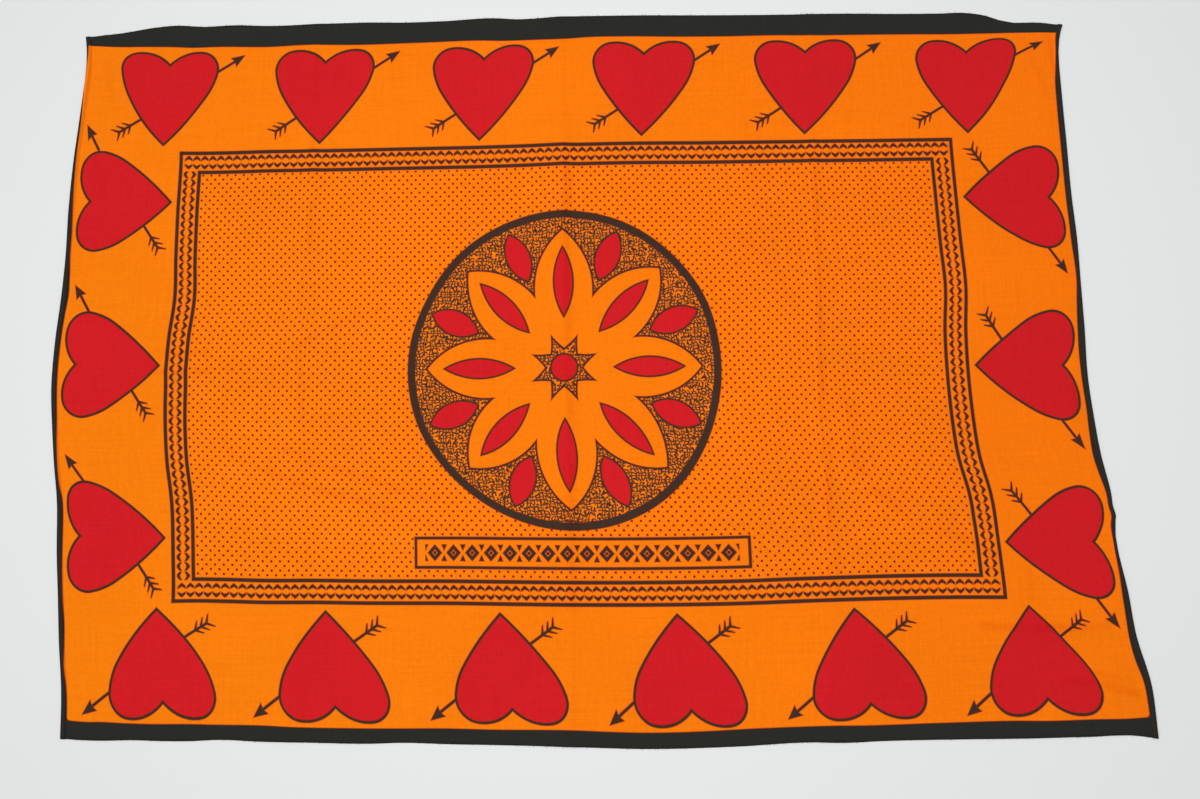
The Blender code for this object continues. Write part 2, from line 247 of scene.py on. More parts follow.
@dataclass(frozen=True)
class Lie:
    """How the cloth lies on the surface: skewed, a little wavy, folded and slack."""

    length: float = 1.500
    depth: float = 1.046
    corner_x: float = -0.7664
    corner_y: float = -0.5326
    thickness: float = 0.00045
    hem_width: float = 0.0070
    hem_height: float = 0.0024
    hem_roll: float = 0.0012
    hem_slope: float = 0.0011
    hem_start: float = 0.45
    flat_by_hem: float = 0.030
    border: float = 0.150
    border_ease: float = 0.060
    fold_power: float = 1.5
    steps: int = 12
    end_taper: float = 0.30
    sharp_share: float = 0.5
    # painted shade along each hem's inner edge, where the sheet steps down: its strength and width
    hem_shade_strength: float = 0.9
    hem_shade_width: float = 0.0012

    def place(self, along: Grid, across: Grid) -> tuple[Grid, Grid]:
        """Places on the surface: the square grid's places plus the pulls of the two tables.

        Each pull is a smooth curve through a table's rows, then one across its columns.

        Args:
            along: Distances from the left end, one for each column or a row for each across.
            across: Rows' distances from the lower edge.

        Returns:
            The x and y of every grid point.
        """
        along = np.broadcast_to(along, (len(across), np.shape(along)[-1]))
        sections, stations = np.array(SECTIONS, float), np.array(STATIONS, float)
        x, y = np.empty(along.shape), np.empty(along.shape)
        for row, pulls in enumerate(through(across / MM, sections[:, 0], sections[:, 1:])):
            at = along[row] / MM
            lifts = through(at, stations[:, 0], stations[:, 1:]).T
            x[row] = self.corner_x + MM * (at + through(at, SECTION_LINES, pulls[:, None])[:, 0])
            height = across[row:row + 1] / MM
            y[row] = self.corner_y + MM * (height + through(height, STATION_LINES, lifts)[0])
        return x, y

    def fold_rise(self, along: Grid, across: Grid) -> Grid:
        """Height of the ironed-in folds: rise times (1 - distance / flank) to a power of 1.5.

        Args:
            along: Distances from the left end, a row for each across.
            across: Rows' distances from the lower edge.

        Returns:
            The height at each point; the rise is less in the border than inside it.
        """
        edge = np.minimum(across, self.depth - across)[:, None]
        inside = smooth(self.border, self.border + self.border_ease, edge)
        share = across[:, None] / self.depth
        rise = np.zeros(along.shape)
        for fold in FOLDS:
            off = along / MM - fold.lower_along - (fold.upper_along - fold.lower_along) * share
            flank = np.where(off < 0, fold.left_flank, fold.right_flank)
            crest = (fold.border_rise + (fold.rise - fold.border_rise) * inside) * MM
            rise += crest * np.clip(1.0 - np.abs(off) / flank, 0.0, 1.0) ** self.fold_power
        return rise

    def wrinkle_rise(self, x: Grid, y: Grid, wrinkle: Wrinkle) -> Grid:
        """Height of one wrinkle: (1 - (distance / reach) squared) squared across a bent line.

        Args:
            x: Places along the surface.
            y: Places across the surface.
            wrinkle: The wrinkle's line, rise and reach; the line is a quadratic Bezier curve.

        Returns:
            The height at each place, dying away towards both ends of the line.
        """
        t = np.linspace(0.0, 1.0, self.steps + 1)
        starts, bends, ends = (1 - t)**2, 2 * t * (1 - t), t**2
        line_x = starts * wrinkle.start_x + bends * wrinkle.bend_x + ends * wrinkle.end_x
        line_y = starts * wrinkle.start_y + bends * wrinkle.bend_y + ends * wrinkle.end_y
        height = np.zeros(x.shape)
        near = (x / MM > line_x.min() - wrinkle.reach) & (x / MM < line_x.max() + wrinkle.reach)
        near &= (y / MM > line_y.min() - wrinkle.reach) & (y / MM < line_y.max() + wrinkle.reach)
        near_x, near_y = x[near] / MM, y[near] / MM
        nearest = np.full(near_x.shape, np.inf)
        where = np.zeros(near_x.shape)
        for i in range(self.steps):
            step_x, step_y = line_x[i + 1] - line_x[i], line_y[i + 1] - line_y[i]
            off_x, off_y = near_x - line_x[i], near_y - line_y[i]
            part = np.clip((off_x * step_x + off_y * step_y) / (step_x**2 + step_y**2), 0.0, 1.0)
            away = np.hypot(off_x - part * step_x, off_y - part * step_y)
            closer = away < nearest
            nearest = np.where(closer, away, nearest)
            where = np.where(closer, (i + part) / self.steps, where)
        taper = np.clip(np.minimum(where, 1.0 - where) / self.end_taper, 0.0, 1.0)
        bump = np.clip(1.0 - (nearest / wrinkle.reach)**2, 0.0, 1.0)**2
        height[near] = wrinkle.rise * MM * bump * taper * (2.0 - taper)
        return height

    def sharp_rise(self, x: Grid, y: Grid) -> Grid:
        """Height of the sharp wrinkles; where two meet, the higher one."""
        return np.max([self.wrinkle_rise(x, y, wrinkle) for wrinkle in SHARP_WRINKLES], axis=0)

    def painted_crease_shade(self, along: Grid, x: Grid, y: Grid) -> Grid:
        """Painted shade along the creases and hems: the sharp wrinkles' rise in mm, or a bell inside
        each hem at its inner edge, where the sheet steps down.

        Args:
            along: Distances from the left end, a row for each across.
            x: The x of every grid point.
            y: The y of every grid point.

        Returns:
            The painted shade, about 1 on a strong crease and 0 away from them.
        """
        inset = np.minimum(along, self.length - along) - self.hem_width
        hem_shade = self.hem_shade_strength * np.exp(-(inset / self.hem_shade_width) ** 2)
        return np.maximum(self.sharp_rise(x, y) / MM, hem_shade)

    def slack(self, x: Grid, y: Grid) -> Grid:
        """Height of the slack: a sum of long even waves, lifted so that none dips below zero.

        Args:
            x: The x of every grid point.
            y: The y of every grid point.

        Returns:
            The height of every grid point.
        """
        rise = np.zeros_like(x)
        for ripple in RIPPLES:
            heading = math.radians(ripple.heading)
            phase = (x * math.cos(heading) + y * math.sin(heading)) / (ripple.length * MM)
            rise += ripple.height * MM * (1.0 + np.sin(TURN * phase + ripple.start))
        return rise

    def rise(self, along: Grid, across: Grid, x: Grid, y: Grid) -> Grid:
        """Height of the sheet's underside: folds, wrinkles and slack, flat by the hems.

        Args:
            along: Distances from the left end, a row for each across.
            across: Rows' distances from the lower edge.
            x: The x of every grid point.
            y: The y of every grid point.

        Returns:
            The height of every grid point, with the hems' own step.
        """
        creases = sum(self.wrinkle_rise(x, y, wrinkle) for wrinkle in BROAD_WRINKLES)
        creases = creases + self.sharp_share * self.sharp_rise(x, y) + self.fold_rise(along, across)
        inset = np.minimum(along, self.length - along)
        lying = smooth(self.hem_width, self.hem_width + self.flat_by_hem, inset)
        return (creases + self.slack(x, y)) * lying + self.hem_step(inset)

    def hem_step(self, inset: Grid) -> Grid:
        """Lift of the sheet over its turned hem: a quarter round, level, then a short slope inside.

        Args:
            inset: Distances from the nearer cut end.

        Returns:
            The lift at each distance.
        """
        lift = self.hem_height - self.thickness
        roll = np.sqrt(np.clip(1.0 - (1.0 - np.clip(inset / self.hem_roll, 0.0, 1.0))**2, 0.0, 1.0))
        inside = 1.0 - smooth(self.hem_width - self.hem_slope, self.hem_width + self.hem_slope, inset)
        return lift * inside * (self.hem_start + (1.0 - self.hem_start) * roll)


LIE = Lie()


# ------------------------------------------------------------------ the print's layout


class Heart(NamedTuple):
    """One printed heart: its middle on the flat cloth, its width, height and lean, in mm.

    Its arrow has a turn in degrees, passes a few mm to one side of the middle, and its tail is
    some mm nearer to the heart than the usual one.
    """

    along: float
    across: float
    width: float
    height: float
    lean: float
    arrow_turn: float
    arrow_aside: float
    tail_nearer: float


class Facing(Enum):
    """Which way the lobes of a row of hearts point, as a turn in quarter circles."""

    UP = 0
    LEFT = 1
    DOWN = 2
    RIGHT = 3


HEARTS = {
    Facing.UP: (
        Heart(137.8, 938.0, 152.5, 133.0, -4.3, 33.0, -6.8, 1.1),
        Heart(380.8, 938.7, 144.5, 134.5, -10.4, 32.2, -4.6, -3.4),
        Heart(619.5, 937.7, 146.0, 133.5, -7.6, 32.1, -4.5, -3.7),
        Heart(862.5, 938.7, 150.0, 133.6, -5.8, 32.6, -5.6, -2.7),
        Heart(1108.1, 938.5, 150.0, 133.0, -6.2, 32.5, -5.7, -2.8),
        Heart(1355.2, 936.2, 151.3, 131.9, -5.4, 31.0, -6.2, -2.3),
    ),
    Facing.DOWN: (
        Heart(149.2, 100.3, 152.4, 148.4, 11.0, 32.5, -7.2, 4.1),
        Heart(400.9, 99.3, 155.0, 145.6, 17.4, 33.3, -7.0, 0.6),
        Heart(653.4, 99.8, 153.0, 143.4, 14.8, 34.2, -6.3, 0.6),
        Heart(899.0, 98.0, 148.0, 145.8, 16.1, 34.6, -7.7, 2.0),
        Heart(1137.4, 99.5, 143.0, 144.0, 21.1, 33.2, -8.2, 2.5),
        Heart(1365.7, 99.0, 137.4, 146.0, 12.0, 33.1, -3.9, -2.4),
    ),
    Facing.LEFT: (
        Heart(81.0, 783.7, 146.4, 132.0, -0.1, 34.8, -5.7, 0.9),
        Heart(82.0, 536.5, 155.0, 131.9, -1.5, 33.4, -6.6, 1.8),
        Heart(81.2, 281.5, 156.0, 130.5, -3.3, 33.9, -5.6, -0.7),
    ),
    Facing.RIGHT: (
        Heart(1410.0, 767.3, 148.6, 144.9, -4.5, 33.3, -5.2, -1.8),
        Heart(1409.5, 517.3, 156.5, 145.0, -3.8, 32.9, -6.5, -1.8),
        Heart(1409.8, 263.3, 153.5, 146.6, -1.4, 32.8, -6.3, 0.4),
    ),
}


class EndBand(NamedTuple):
    """Width in mm of the dark print beside the two cut ends, at one height."""

    height: float
    left: float
    right: float


END_BANDS = [EndBand(*row) for row in (
    (0, 8.4, 6.8), (40, 8.1, 7.8), (70, 7.1, 8.4), (95, 5.8, 10.6), (125, 7.2, 10.1),
    (155, 8.0, 9.1), (190, 6.7, 8.6), (225, 6.7, 6.2), (260, 7.4, 5.1), (300, 7.9, 6.6),
    (335, 7.5, 7.2), (360, 5.2, 9.8), (385, 5.1, 11.3), (420, 5.8, 10.2), (455, 7.0, 8.4),
    (500, 7.5, 8.8), (550, 7.4, 10.2), (580, 7.7, 9.6), (615, 8.3, 7.8), (640, 9.8, 6.4),
    (670, 8.5, 7.0), (700, 6.7, 8.6), (740, 6.9, 8.5), (780, 6.1, 8.4), (820, 4.8, 8.6),
    (860, 3.9, 8.7), (900, 3.4, 8.6), (930, 1.6, 8.0), (950, 0.2, 6.2), (975, 1.1, 4.7),
    (1000, 2.9, 6.0), (1046, 3.5, 6.5),
)]


class WovenBand(NamedTuple):
    """How far from the woven edges, in mm, the dark print ends, at one distance along."""

    along: float
    lower: float
    upper: float


WOVEN_BANDS = [WovenBand(*row) for row in (
    (0, 24.9, 29.6), (16, 22.8, 29.9), (36, 21.4, 31.0), (62, 21.2, 31.0), (90, 19.8, 30.2),
    (140, 18.2, 30.6), (180, 18.3, 32.4), (212, 18.5, 31.6), (300, 19.1, 32.0), (336, 18.1, 30.3),
    (440, 17.9, 31.6), (525, 18.2, 30.8), (610, 18.7, 30.4), (655, 19.3, 32.6), (705, 19.9, 32.9),
    (738, 19.7, 32.8), (775, 18.5, 30.6), (840, 17.2, 30.4), (905, 18.1, 31.6), (985, 20.5, 31.9),
    (1062, 20.7, 30.6), (1120, 18.9, 31.7), (1230, 19.0, 31.9), (1330, 18.7, 32.2), (1365, 18.0, 31.6),
    (1410, 18.9, 31.4), (1450, 20.7, 30.6), (1480, 22.5, 29.6), (1500, 23.2, 29.6),
)]


@dataclass(frozen=True)
class Layout:
    """Sizes of the print in mm, drawn on a plan whose origin is the frame's middle.

    The printed cloth is a little deeper than its plan, so distances across it are divided by
    stretch before they are compared with the plan. The side rows of hearts lie beside the frame,
    before and after side_rows and from side_lower below it; past the frame's corners they still
    hold the strips beside the cloth's ends, end_strips, up to strip_stops. The tug is a short pull
    on the print in the right hem.
    """

    middle_along: float = 740.5
    middle_across: float = 523.0
    stretch: float = 1.038
    frame_middle: tuple[float, float] = (0.9, -0.7)
    frame_half: tuple[float, float] = (580.7, 322.7)
    inner_middle: tuple[float, float] = (-0.5, 0.2)
    inner_half: tuple[float, float] = (551.2, 294.3)
    frame_line: float = 4.4
    pitch: float = 12.5
    dots_middle: tuple[float, float] = (-0.6, 0.7)
    dot_radius: float = 1.68
    caret_rows: tuple[float, float] = (566.0, 308.7)
    caret_ends: tuple[float, float] = (575.4, 296.2)
    pull_height: float = 318.0
    caret_outer: tuple[float, float] = (10.65, 1.04)
    caret_inner: tuple[float, float] = (5.75, 0.62)
    caret_round: float = 1.4
    caret_half: float = 5.3
    caret_tall: float = 1.008
    disc_middle: tuple[float, float] = (-0.8, 0.2)
    disc_radius: float = 219.7
    disc_line: float = 10.2
    box_middle: tuple[float, float] = (7.4, -255.6)
    box_half: tuple[float, float] = (233.4, 19.9)
    box_line: float = 3.3
    heart_width: float = 148.0
    heart_height: float = 140.0
    heart_widest: float = 45.0
    shaft_ease: float = 20.0
    side_rows: tuple[float, float] = (300.0, 1200.0)
    end_strips: tuple[float, float] = (40.0, 1448.0)
    strip_stops: tuple[float, float] = (900.0, 120.0)
    side_lower: float = 4.0
    tug: float = 2.65
    tug_across: float = 301.0
    tug_half: float = 14.0
    tug_from: float = 1321.0


LAYOUT = Layout()


class Pull(NamedTuple):
    """How far the dots and carets stand off an even lattice at one level of the panel, in mm."""

    level: float
    along: tuple[float, float, float, float, float]
    up: tuple[float, float, float, float, float]


PULL_SHARES = (-1.0, -0.5, 0.0, 0.5, 1.0)
PULLS = [
    #    level   along: left end, left, middle, right, right end   up: the same five places
    Pull(-1.000, (0.0, -7.0, -16.5, -9.1, 0.0), (0.0, 0.0, 0.0, 0.0, 0.0)),
    Pull(-0.333, (0.0, 5.8, 2.8, 0.5, 0.0), (-5.1, -1.4, -1.6, -1.0, -0.8)),
    Pull(0.333, (0.0, 6.2, 3.3, 1.7, 0.0), (-7.4, -3.7, -3.8, -4.4, -4.1)),
    Pull(1.000, (0.0, 6.6, 6.1, 2.9, 0.0), (0.0, 0.0, 0.0, 0.0, 0.0)),
]


def share_of_each(knots: tuple[float, ...], place: Grid) -> Grid:
    """Lagrange weights: each knot's is 1 at that knot, 0 at the others, and smooth between.

    Args:
        knots: Where the knots stand, from -1 to 1.
        place: Places to weigh, kept within -1 and 1.

    Returns:
        For each place one weight for each knot.
    """
    place = np.clip(place, -1.0, 1.0)
    weights = np.ones(place.shape + (len(knots),))
    for own, knot in enumerate(knots):
        for other in knots[:own] + knots[own + 1:]:
            weights[..., own] *= (place - other) / (knot - other)
    return weights


def print_pull(along: Grid, across: Grid) -> Grid:
    """How far the weave has pulled the print's dots and carets off their even lattice.

    The pull is the table's, weighted by each level's and each place's Lagrange weight.

    Args:
        along: Flat distances from the left end, in mm.
        across: Flat distances from the lower selvedge, in mm.

    Returns:
        The pull along, the pull up and a zero, in mm, for each place.
    """
    sideways = (along - LAYOUT.middle_along) / LAYOUT.caret_ends[0]
    height = (across - LAYOUT.middle_across) / LAYOUT.stretch / LAYOUT.pull_height
    levels = share_of_each(tuple(pull.level for pull in PULLS), height)
    places = share_of_each(PULL_SHARES, sideways)
    tables = np.array([[pull.along for pull in PULLS], [pull.up for pull in PULLS]])
    pulled = np.einsum("...l,...p,klp->...k", levels, places, tables)
    return np.concatenate([pulled, np.zeros(pulled.shape[:-1] + (1,))], axis=-1)


def heart_row(along: Grid, across: Grid) -> Grid:
    """The row of hearts that each face belongs to, as a Facing's value.

    That is a side row beside the frame and in the strips at the cloth's ends, and else the row
    above or below the frame.

    Args:
        along: Flat mm of each face's middle.
        across: The same across the cloth.

    Returns:
        The value of each face's Facing.
    """
    low = LAYOUT.middle_across - LAYOUT.frame_half[1] * LAYOUT.stretch - LAYOUT.side_lower
    high = LAYOUT.middle_across + LAYOUT.frame_half[1] * LAYOUT.stretch
    beside = (across > low) & (across < high)
    (left_row, right_row), (left_strip, right_strip) = LAYOUT.side_rows, LAYOUT.end_strips
    left_stop, right_stop = LAYOUT.strip_stops
    past_left = (along < left_strip) & (across < left_stop) & ~beside
    past_right = (along > right_strip) & (across > right_stop) & ~beside
    left = ((beside & (along < left_row)) | past_left) & (across > low)
    right = ((beside & (along > right_row)) | past_right) & (across < high)
    row = np.where(left, Facing.LEFT.value, np.where(right, Facing.RIGHT.value, Facing.UP.value))
    return np.where(~left & ~right & (across < LAYOUT.middle_across), Facing.DOWN.value, row)


def heart_places(along: Grid, across: Grid) -> Grid:
    """Each face's place in its own heart, turned upright and scaled to one size, and its arrow.

    A face belongs to the nearest heart of its row. The tug in the right hem, which
    (1 - (distance / half) squared) squared describes, is taken out of the hearts beside it.

    Args:
        along: Flat mm of the face corners, one row of corners for each face.
        across: The same across the cloth.

    Returns:
        For each corner two places with a spare third number: leant sideways and upwards in the
        heart, then ahead on the arrow's line and off to its left.
    """
    off_tug = (across - LAYOUT.tug_across) / LAYOUT.tug_half
    held = smooth(LAYOUT.tug_from, LIE.length / MM, along)
    along = along + LAYOUT.tug * held * np.clip(1.0 - off_tug**2, 0.0, 1.0)**2
    middle_along, middle_across = along.mean(1), across.mean(1)
    row = heart_row(middle_along, middle_across)
    reach = LAYOUT.heart_widest + LAYOUT.heart_height / 2
    places = np.zeros(along.shape + (2, 3))
    for facing, hearts in HEARTS.items():
        table = np.array(hearts, float)
        key = 1 if facing in (Facing.LEFT, Facing.RIGHT) else 0
        middles = middle_across if key else middle_along
        own = table[np.abs(middles[:, None] - table[None, :, key]).argmin(1)]
        off_x, off_y = along - own[:, 0:1], across - own[:, 1:2]
        turned = {
            Facing.UP: (off_x, off_y),
            Facing.LEFT: (off_y, -off_x),
            Facing.DOWN: (-off_x, -off_y),
            Facing.RIGHT: (-off_y, off_x),
        }[facing]
        side = turned[0] * LAYOUT.heart_width / own[:, 2:3]
        up = turned[1] * LAYOUT.heart_height / own[:, 3:4]
        leant = side - own[:, 4:5] * (LAYOUT.heart_widest - up) / reach
        arrow_side = leant if facing is Facing.DOWN else side
        turn = np.radians(own[:, 5:6])
        ahead = arrow_side * np.cos(turn) + up * np.sin(turn)
        off = up * np.cos(turn) - arrow_side * np.sin(turn) - own[:, 6:7]
        ahead -= own[:, 7:8] * (1.0 - smooth(-LAYOUT.shaft_ease, LAYOUT.shaft_ease, ahead))
        here = row == facing.value
        places[here, :, 0, :2] = np.stack([leant, up], axis=-1)[here]
        places[here, :, 1, :2] = np.stack([ahead, off], axis=-1)[here]
    return places


def band_depth(along: Grid, across: Grid) -> Grid:
    """How far each point lies inside the dark edge print, in mm; negative outside it.

    Args:
        along: Flat distances from the left end in mm, a row for each across.
        across: Rows' flat distances in mm.

    Returns:
        The greatest of the depths into the upper, lower, left and right bands.
    """
    ends, woven = np.array(END_BANDS), np.array(WOVEN_BANDS)
    widths = through(across, ends[:, 0], ends[:, 1:])
    depths = through(along.ravel(), woven[:, 0], woven[:, 1:]).reshape(*along.shape, 2)
    across = across[:, None]
    low = depths[..., 0] - across
    high = depths[..., 1] - (LIE.depth / MM - across)
    left = widths[:, 0:1] - along
    right = widths[:, 1:2] - (LIE.length / MM - along)
    return np.maximum(np.maximum(low, high), np.maximum(left, right))


# ------------------------------------------------------------------ numbers carried by nodes


@dataclass(frozen=True)
class Carried:
    """What one output socket of a material's nodes carries."""

    end: bpy.types.NodeSocket

    def node(self, kind: str, *values: object, **settings: object) -> bpy.types.Node:
        """A new node with this in its first socket and the values in the next ones.

        Args:
            kind: Blender's name of the node, without ShaderNode.
            values: Numbers, tuples or what other sockets carry; None leaves a socket as it is.
            settings: The node's own settings.

        Returns:
            The node.
        """
        tree = self.end.id_data
        node = tree.nodes.new(f"ShaderNode{kind}")
        for name, setting in settings.items():
            setattr(node, name, setting)
        for socket, value in zip(node.inputs, (self, *values)):
            if isinstance(value, Carried):
                tree.links.new(value.end, socket)
            elif value is not None:
                socket.default_value = value
        return node

    def into(self, node: bpy.types.Node, socket: str) -> None:
        """Link this to a node's named socket."""
        node.id_data.links.new(self.end, node.inputs[socket])


@dataclass(frozen=True)
class Wire(Carried):
    """A number carried by a material's nodes; arithmetic on it adds one Math node each."""

    def math(self, operation: str, *others: Number) -> "Wire":
        """The result of one Math node fed with this number and others."""
        return Wire(self.node("Math", *others, operation=operation).outputs[0])

    def __add__(self, other: Number) -> "Wire":
        """Sum."""
        return self.math("ADD", other)

    def __sub__(self, other: Number) -> "Wire":
        """Difference."""
        return self.math("SUBTRACT", other)

    def __mul__(self, other: Number) -> "Wire":
        """Product."""
        return self.math("MULTIPLY", other)

    def __abs__(self) -> "Wire":
        """Size without its sign."""
        return self.math("ABSOLUTE")

    def scaled(self, factor: Number, offset: Number) -> "Wire":
        """This number times factor, plus offset."""
        return self.math("MULTIPLY_ADD", factor, offset)

    def least(self, *others: Number) -> "Wire":
        """The smallest of this number and others: either shape's inside is inside."""
        return reduce(lambda wire, other: wire.math("MINIMUM", other), others, self)

    def most(self, *others: Number) -> "Wire":
        """The largest of this number and others: the inside is what all shapes share."""
        return reduce(lambda wire, other: wire.math("MAXIMUM", other), others, self)

    def above(self, level: Number) -> "Wire":
        """1 where this number is above level, else 0."""
        return self.math("GREATER_THAN", level)

    def blend(self, off: Number, on: Number) -> "Wire":
        """off where this number is 0 and on where it is 1."""
        return Wire(self.node("Mix", None, off, on).outputs[0])

    def repeat(self, pitch: float, start: float = 0.0) -> "Wire":
        """Distance from the nearest of a row of marks a pitch apart, one of them at start."""
        return abs(self.scaled(1.0 / pitch, 0.5 - start / pitch).math("FRACT").scaled(pitch, -pitch / 2))

    def outline(self, width: float) -> "Wire":
        """A line of that width along the edge where this number is 0."""
        return abs(self) - width / 2

    def cover(self, soft: float) -> "Wire":
        """1 inside, where this distance is below zero, and 0 outside, over a soft edge."""
        return Wire(self.node("MapRange", soft / 2, -soft / 2).outputs[0])

    def dye(self, below: Dye, above: Dye, blend: str = "MIX") -> Carried:
        """Colour that is below where this number is 0 and above where it is 1.

        Args:
            below: A colour, or one that is carried.
            above: A colour, or one that is carried.
            blend: Blender's name of how above is laid over below.

        Returns:
            The mixed colour.
        """
        shades = [(*dye, 1.0) if isinstance(dye, tuple) else dye for dye in (below, above)]
        unused = [None] * 5
        node = self.node(
            "Mix", *unused, *shades, data_type="RGBA", blend_type=blend, clamp_factor=False
        )
        return Carried(node.outputs[2])


@dataclass(frozen=True)
class Spot(Carried):
    """A place on the plan carried by a material's nodes as a vector."""

    @staticmethod
    def at(x: Wire, y: Wire) -> "Spot":
        """The place with these two distances."""
        return Spot(x.node("CombineXYZ", y).outputs[0])

    def vector(self, operation: str, *others: Union["Spot", tuple]) -> "Spot":
        """The vector that one Vector Math node gives for this place and others."""
        return Spot(self.node("VectorMath", *others, operation=operation).outputs["Vector"])

    def measure(self, operation: str, other: tuple) -> Wire:
        """The number that one Vector Math node gives for this place and another."""
        return Wire(self.node("VectorMath", other, operation=operation).outputs["Value"])

    def circle(self, middle: tuple[float, float], radius: float) -> Wire:
        """Distance outside a circle: distance from its middle less its radius."""
        return self.measure("DISTANCE", (*middle, 0.0)) - radius

    def beyond(self, through_point: tuple[float, float], degrees: float) -> Wire:
        """1 on the left of the line that leaves the point at that heading, else 0.

        Args:
            through_point: The point.
            degrees: The line's heading.

        Returns:
            1 or 0.
        """
        across = (-math.sin(math.radians(degrees)), math.cos(math.radians(degrees)), 0.0)
        level = across[0] * through_point[0] + across[1] * through_point[1]
        return self.measure("DOT_PRODUCT", across).above(level)

    def parts(self) -> tuple[Wire, ...]:
        """The place's three distances."""
        return tuple(Wire(socket) for socket in self.node("SeparateXYZ").outputs)

    def scaled(self, x: float, y: float) -> "Spot":
        """This place with both distances scaled."""
        return self.vector("MULTIPLY", (x, y, 1.0))

    def texture(self, scale: float, detail: float) -> bpy.types.Node:
        """Smooth random texture: scale is its bumps to a unit, detail how many finer layers it has."""
        return self.node("TexNoise", None, scale, detail, noise_dimensions="2D")

    def noise(self, scale: float, detail: float = 1.0) -> Wire:
        """Smooth random number at this place, about 0.5."""
        return Wire(self.texture(scale, detail).outputs[0])

    def wandering(self, scale: float, reach: float) -> "Spot":
        """This place moved about by a smooth random amount, up to about half the reach each way."""
        drift = Spot(self.texture(scale, 0.0).outputs["Color"]).scaled(reach * 2, reach * 2)
        return self.vector("ADD", drift)

    def chance(self, shift: float = 0.0) -> Wire:
        """An unrelated random number from 0 to 1 for each different place."""
        return Wire(self.vector("ADD", (shift, shift, 0.0)).node("TexWhiteNoise").outputs[0])


def box_field(x: Wire, y: Wire, middle: tuple[float, float], half: tuple[float, float]) -> Wire:
    """Distance outside an upright box, the larger of the two sides' distances.

    Args:
        x: Place along the plan.
        y: Place across the plan.
        middle: The box's middle.
        half: Half its width and half its height.

    Returns:
        The distance, negative inside.
    """
    return (abs(x - middle[0]) - half[0]).most(abs(y - middle[1]) - half[1])


# ------------------------------------------------------------------ the printed motifs


@dataclass(frozen=True)
class Leaf:
    """A pointed leaf between two equal arcs: its middle, half length and half width, in mm."""

    middle: float
    half_length: float
    half_width: float

    def field(self, spot: Spot) -> Wire:
        """Distance outside the leaf for a place whose second distance isn't negative."""
        radius = (self.half_length**2 + self.half_width**2) / (2 * self.half_width)
        return spot.circle((self.middle, self.half_width - radius), radius)


@dataclass(frozen=True)
class HeartMotif:
    """A heart of four tangent arcs a side with an arrow behind it, on the heart's own plan."""

    lobe: tuple[float, float] = (47.7, 43.0)
    lobe_radius: float = 26.4
    crown_radius: float = 57.9
    crown_turn: float = 81.0
    cheek_radius: float = 101.0
    cheek_turn: float = -10.8
    flank_radius: float = 431.0
    flank_turn: float = -33.0
    line: float = 3.0
    shaft: float = 3.1
    tip: float = 133.0
    head: float = 19.5
    head_half: float = 7.6
    notch: float = 17.0
    barb_middle: float = -80.3
    barb_pitch: float = 9.3
    barb_lean: float = 0.9
    barb_half: float = 1.6
    barb_taper: float = 0.12
    barb_reach: float = 9.5
    tail: float = -89.0
    overlap: float = 0.3

    def stepped(self, middle: tuple[float, float], degrees: float, shift: float) -> tuple[float, float]:
        """The middle of a larger arc that touches one of a radius shift less, at that heading."""
        turn = math.radians(degrees)
        return middle[0] - shift * math.cos(turn), middle[1] - shift * math.sin(turn)

    def body(self, side: Wire, up: Wire) -> Wire:
        """Distance outside the heart: the arc whose sector holds the place, folded at the middle.

        Args:
            side: Sideways place.
            up: Upward place.

        Returns:
            The distance, negative inside.
        """
        spot = Spot.at(abs(side), up)
        crown = self.stepped(self.lobe, self.crown_turn, self.crown_radius - self.lobe_radius)
        cheek = self.stepped(self.lobe, self.cheek_turn, self.cheek_radius - self.lobe_radius)
        flank = self.stepped(cheek, self.flank_turn, self.flank_radius - self.cheek_radius)
        low_arcs = spot.circle(flank, self.flank_radius), spot.circle(cheek, self.cheek_radius)
        lower = spot.beyond(cheek, self.flank_turn).blend(*low_arcs)
        lobe = spot.circle(self.lobe, self.lobe_radius)
        rounds = spot.beyond(self.lobe, self.cheek_turn).blend(lower, lobe)
        topmost = spot.beyond(self.lobe, self.crown_turn) * up.above(self.lobe[1])
        return topmost.blend(rounds, spot.circle(crown, self.crown_radius))

    def arrow(self, ahead: Wire, aside: Wire) -> Wire:
        """Distance outside the arrow: a shaft, a notched head and three pairs of barbs.

        Args:
            ahead: Place along the arrow's line.
            aside: Place beside that line.

        Returns:
            The distance, negative inside.
        """
        off = abs(aside)
        shaft_end = self.tip - self.notch
        shaft = (off - self.shaft / 2).most(ahead - shaft_end, ahead.scaled(-1.0, self.tail))
        taper = math.atan2(self.head_half, self.head)
        sides = off.scaled(math.cos(taper), ahead.scaled(math.sin(taper), -self.tip * math.sin(taper)))
        back = off * ((self.notch - self.head) / self.head_half) - ahead + shaft_end
        barbs = abs(off.scaled(self.barb_lean, ahead - self.barb_middle))
        barbs = barbs.least(abs(barbs - self.barb_pitch)) * math.cos(math.atan(self.barb_lean))
        barbs = (barbs - off.scaled(-self.barb_taper, self.barb_half)).most(off - self.barb_reach)
        return shaft.least(sides.most(back), barbs)

    def ink(self, side: Wire, up: Wire, ahead: Wire, aside: Wire) -> tuple[Wire, Wire]:
        """The heart's body, and its outline and arrow as one shape.

        Args:
            side: Sideways place, leant.
            up: Upward place.
            ahead: Place along the arrow's line.
            aside: Place beside that line.

        Returns:
            Distance outside the body, and distance outside the dark lines.
        """
        body = self.body(side, up)
        arrow = self.arrow(ahead, aside).most(body * -1.0)
        return body, (body - self.line / 2 + self.overlap).outline(self.line).least(arrow)


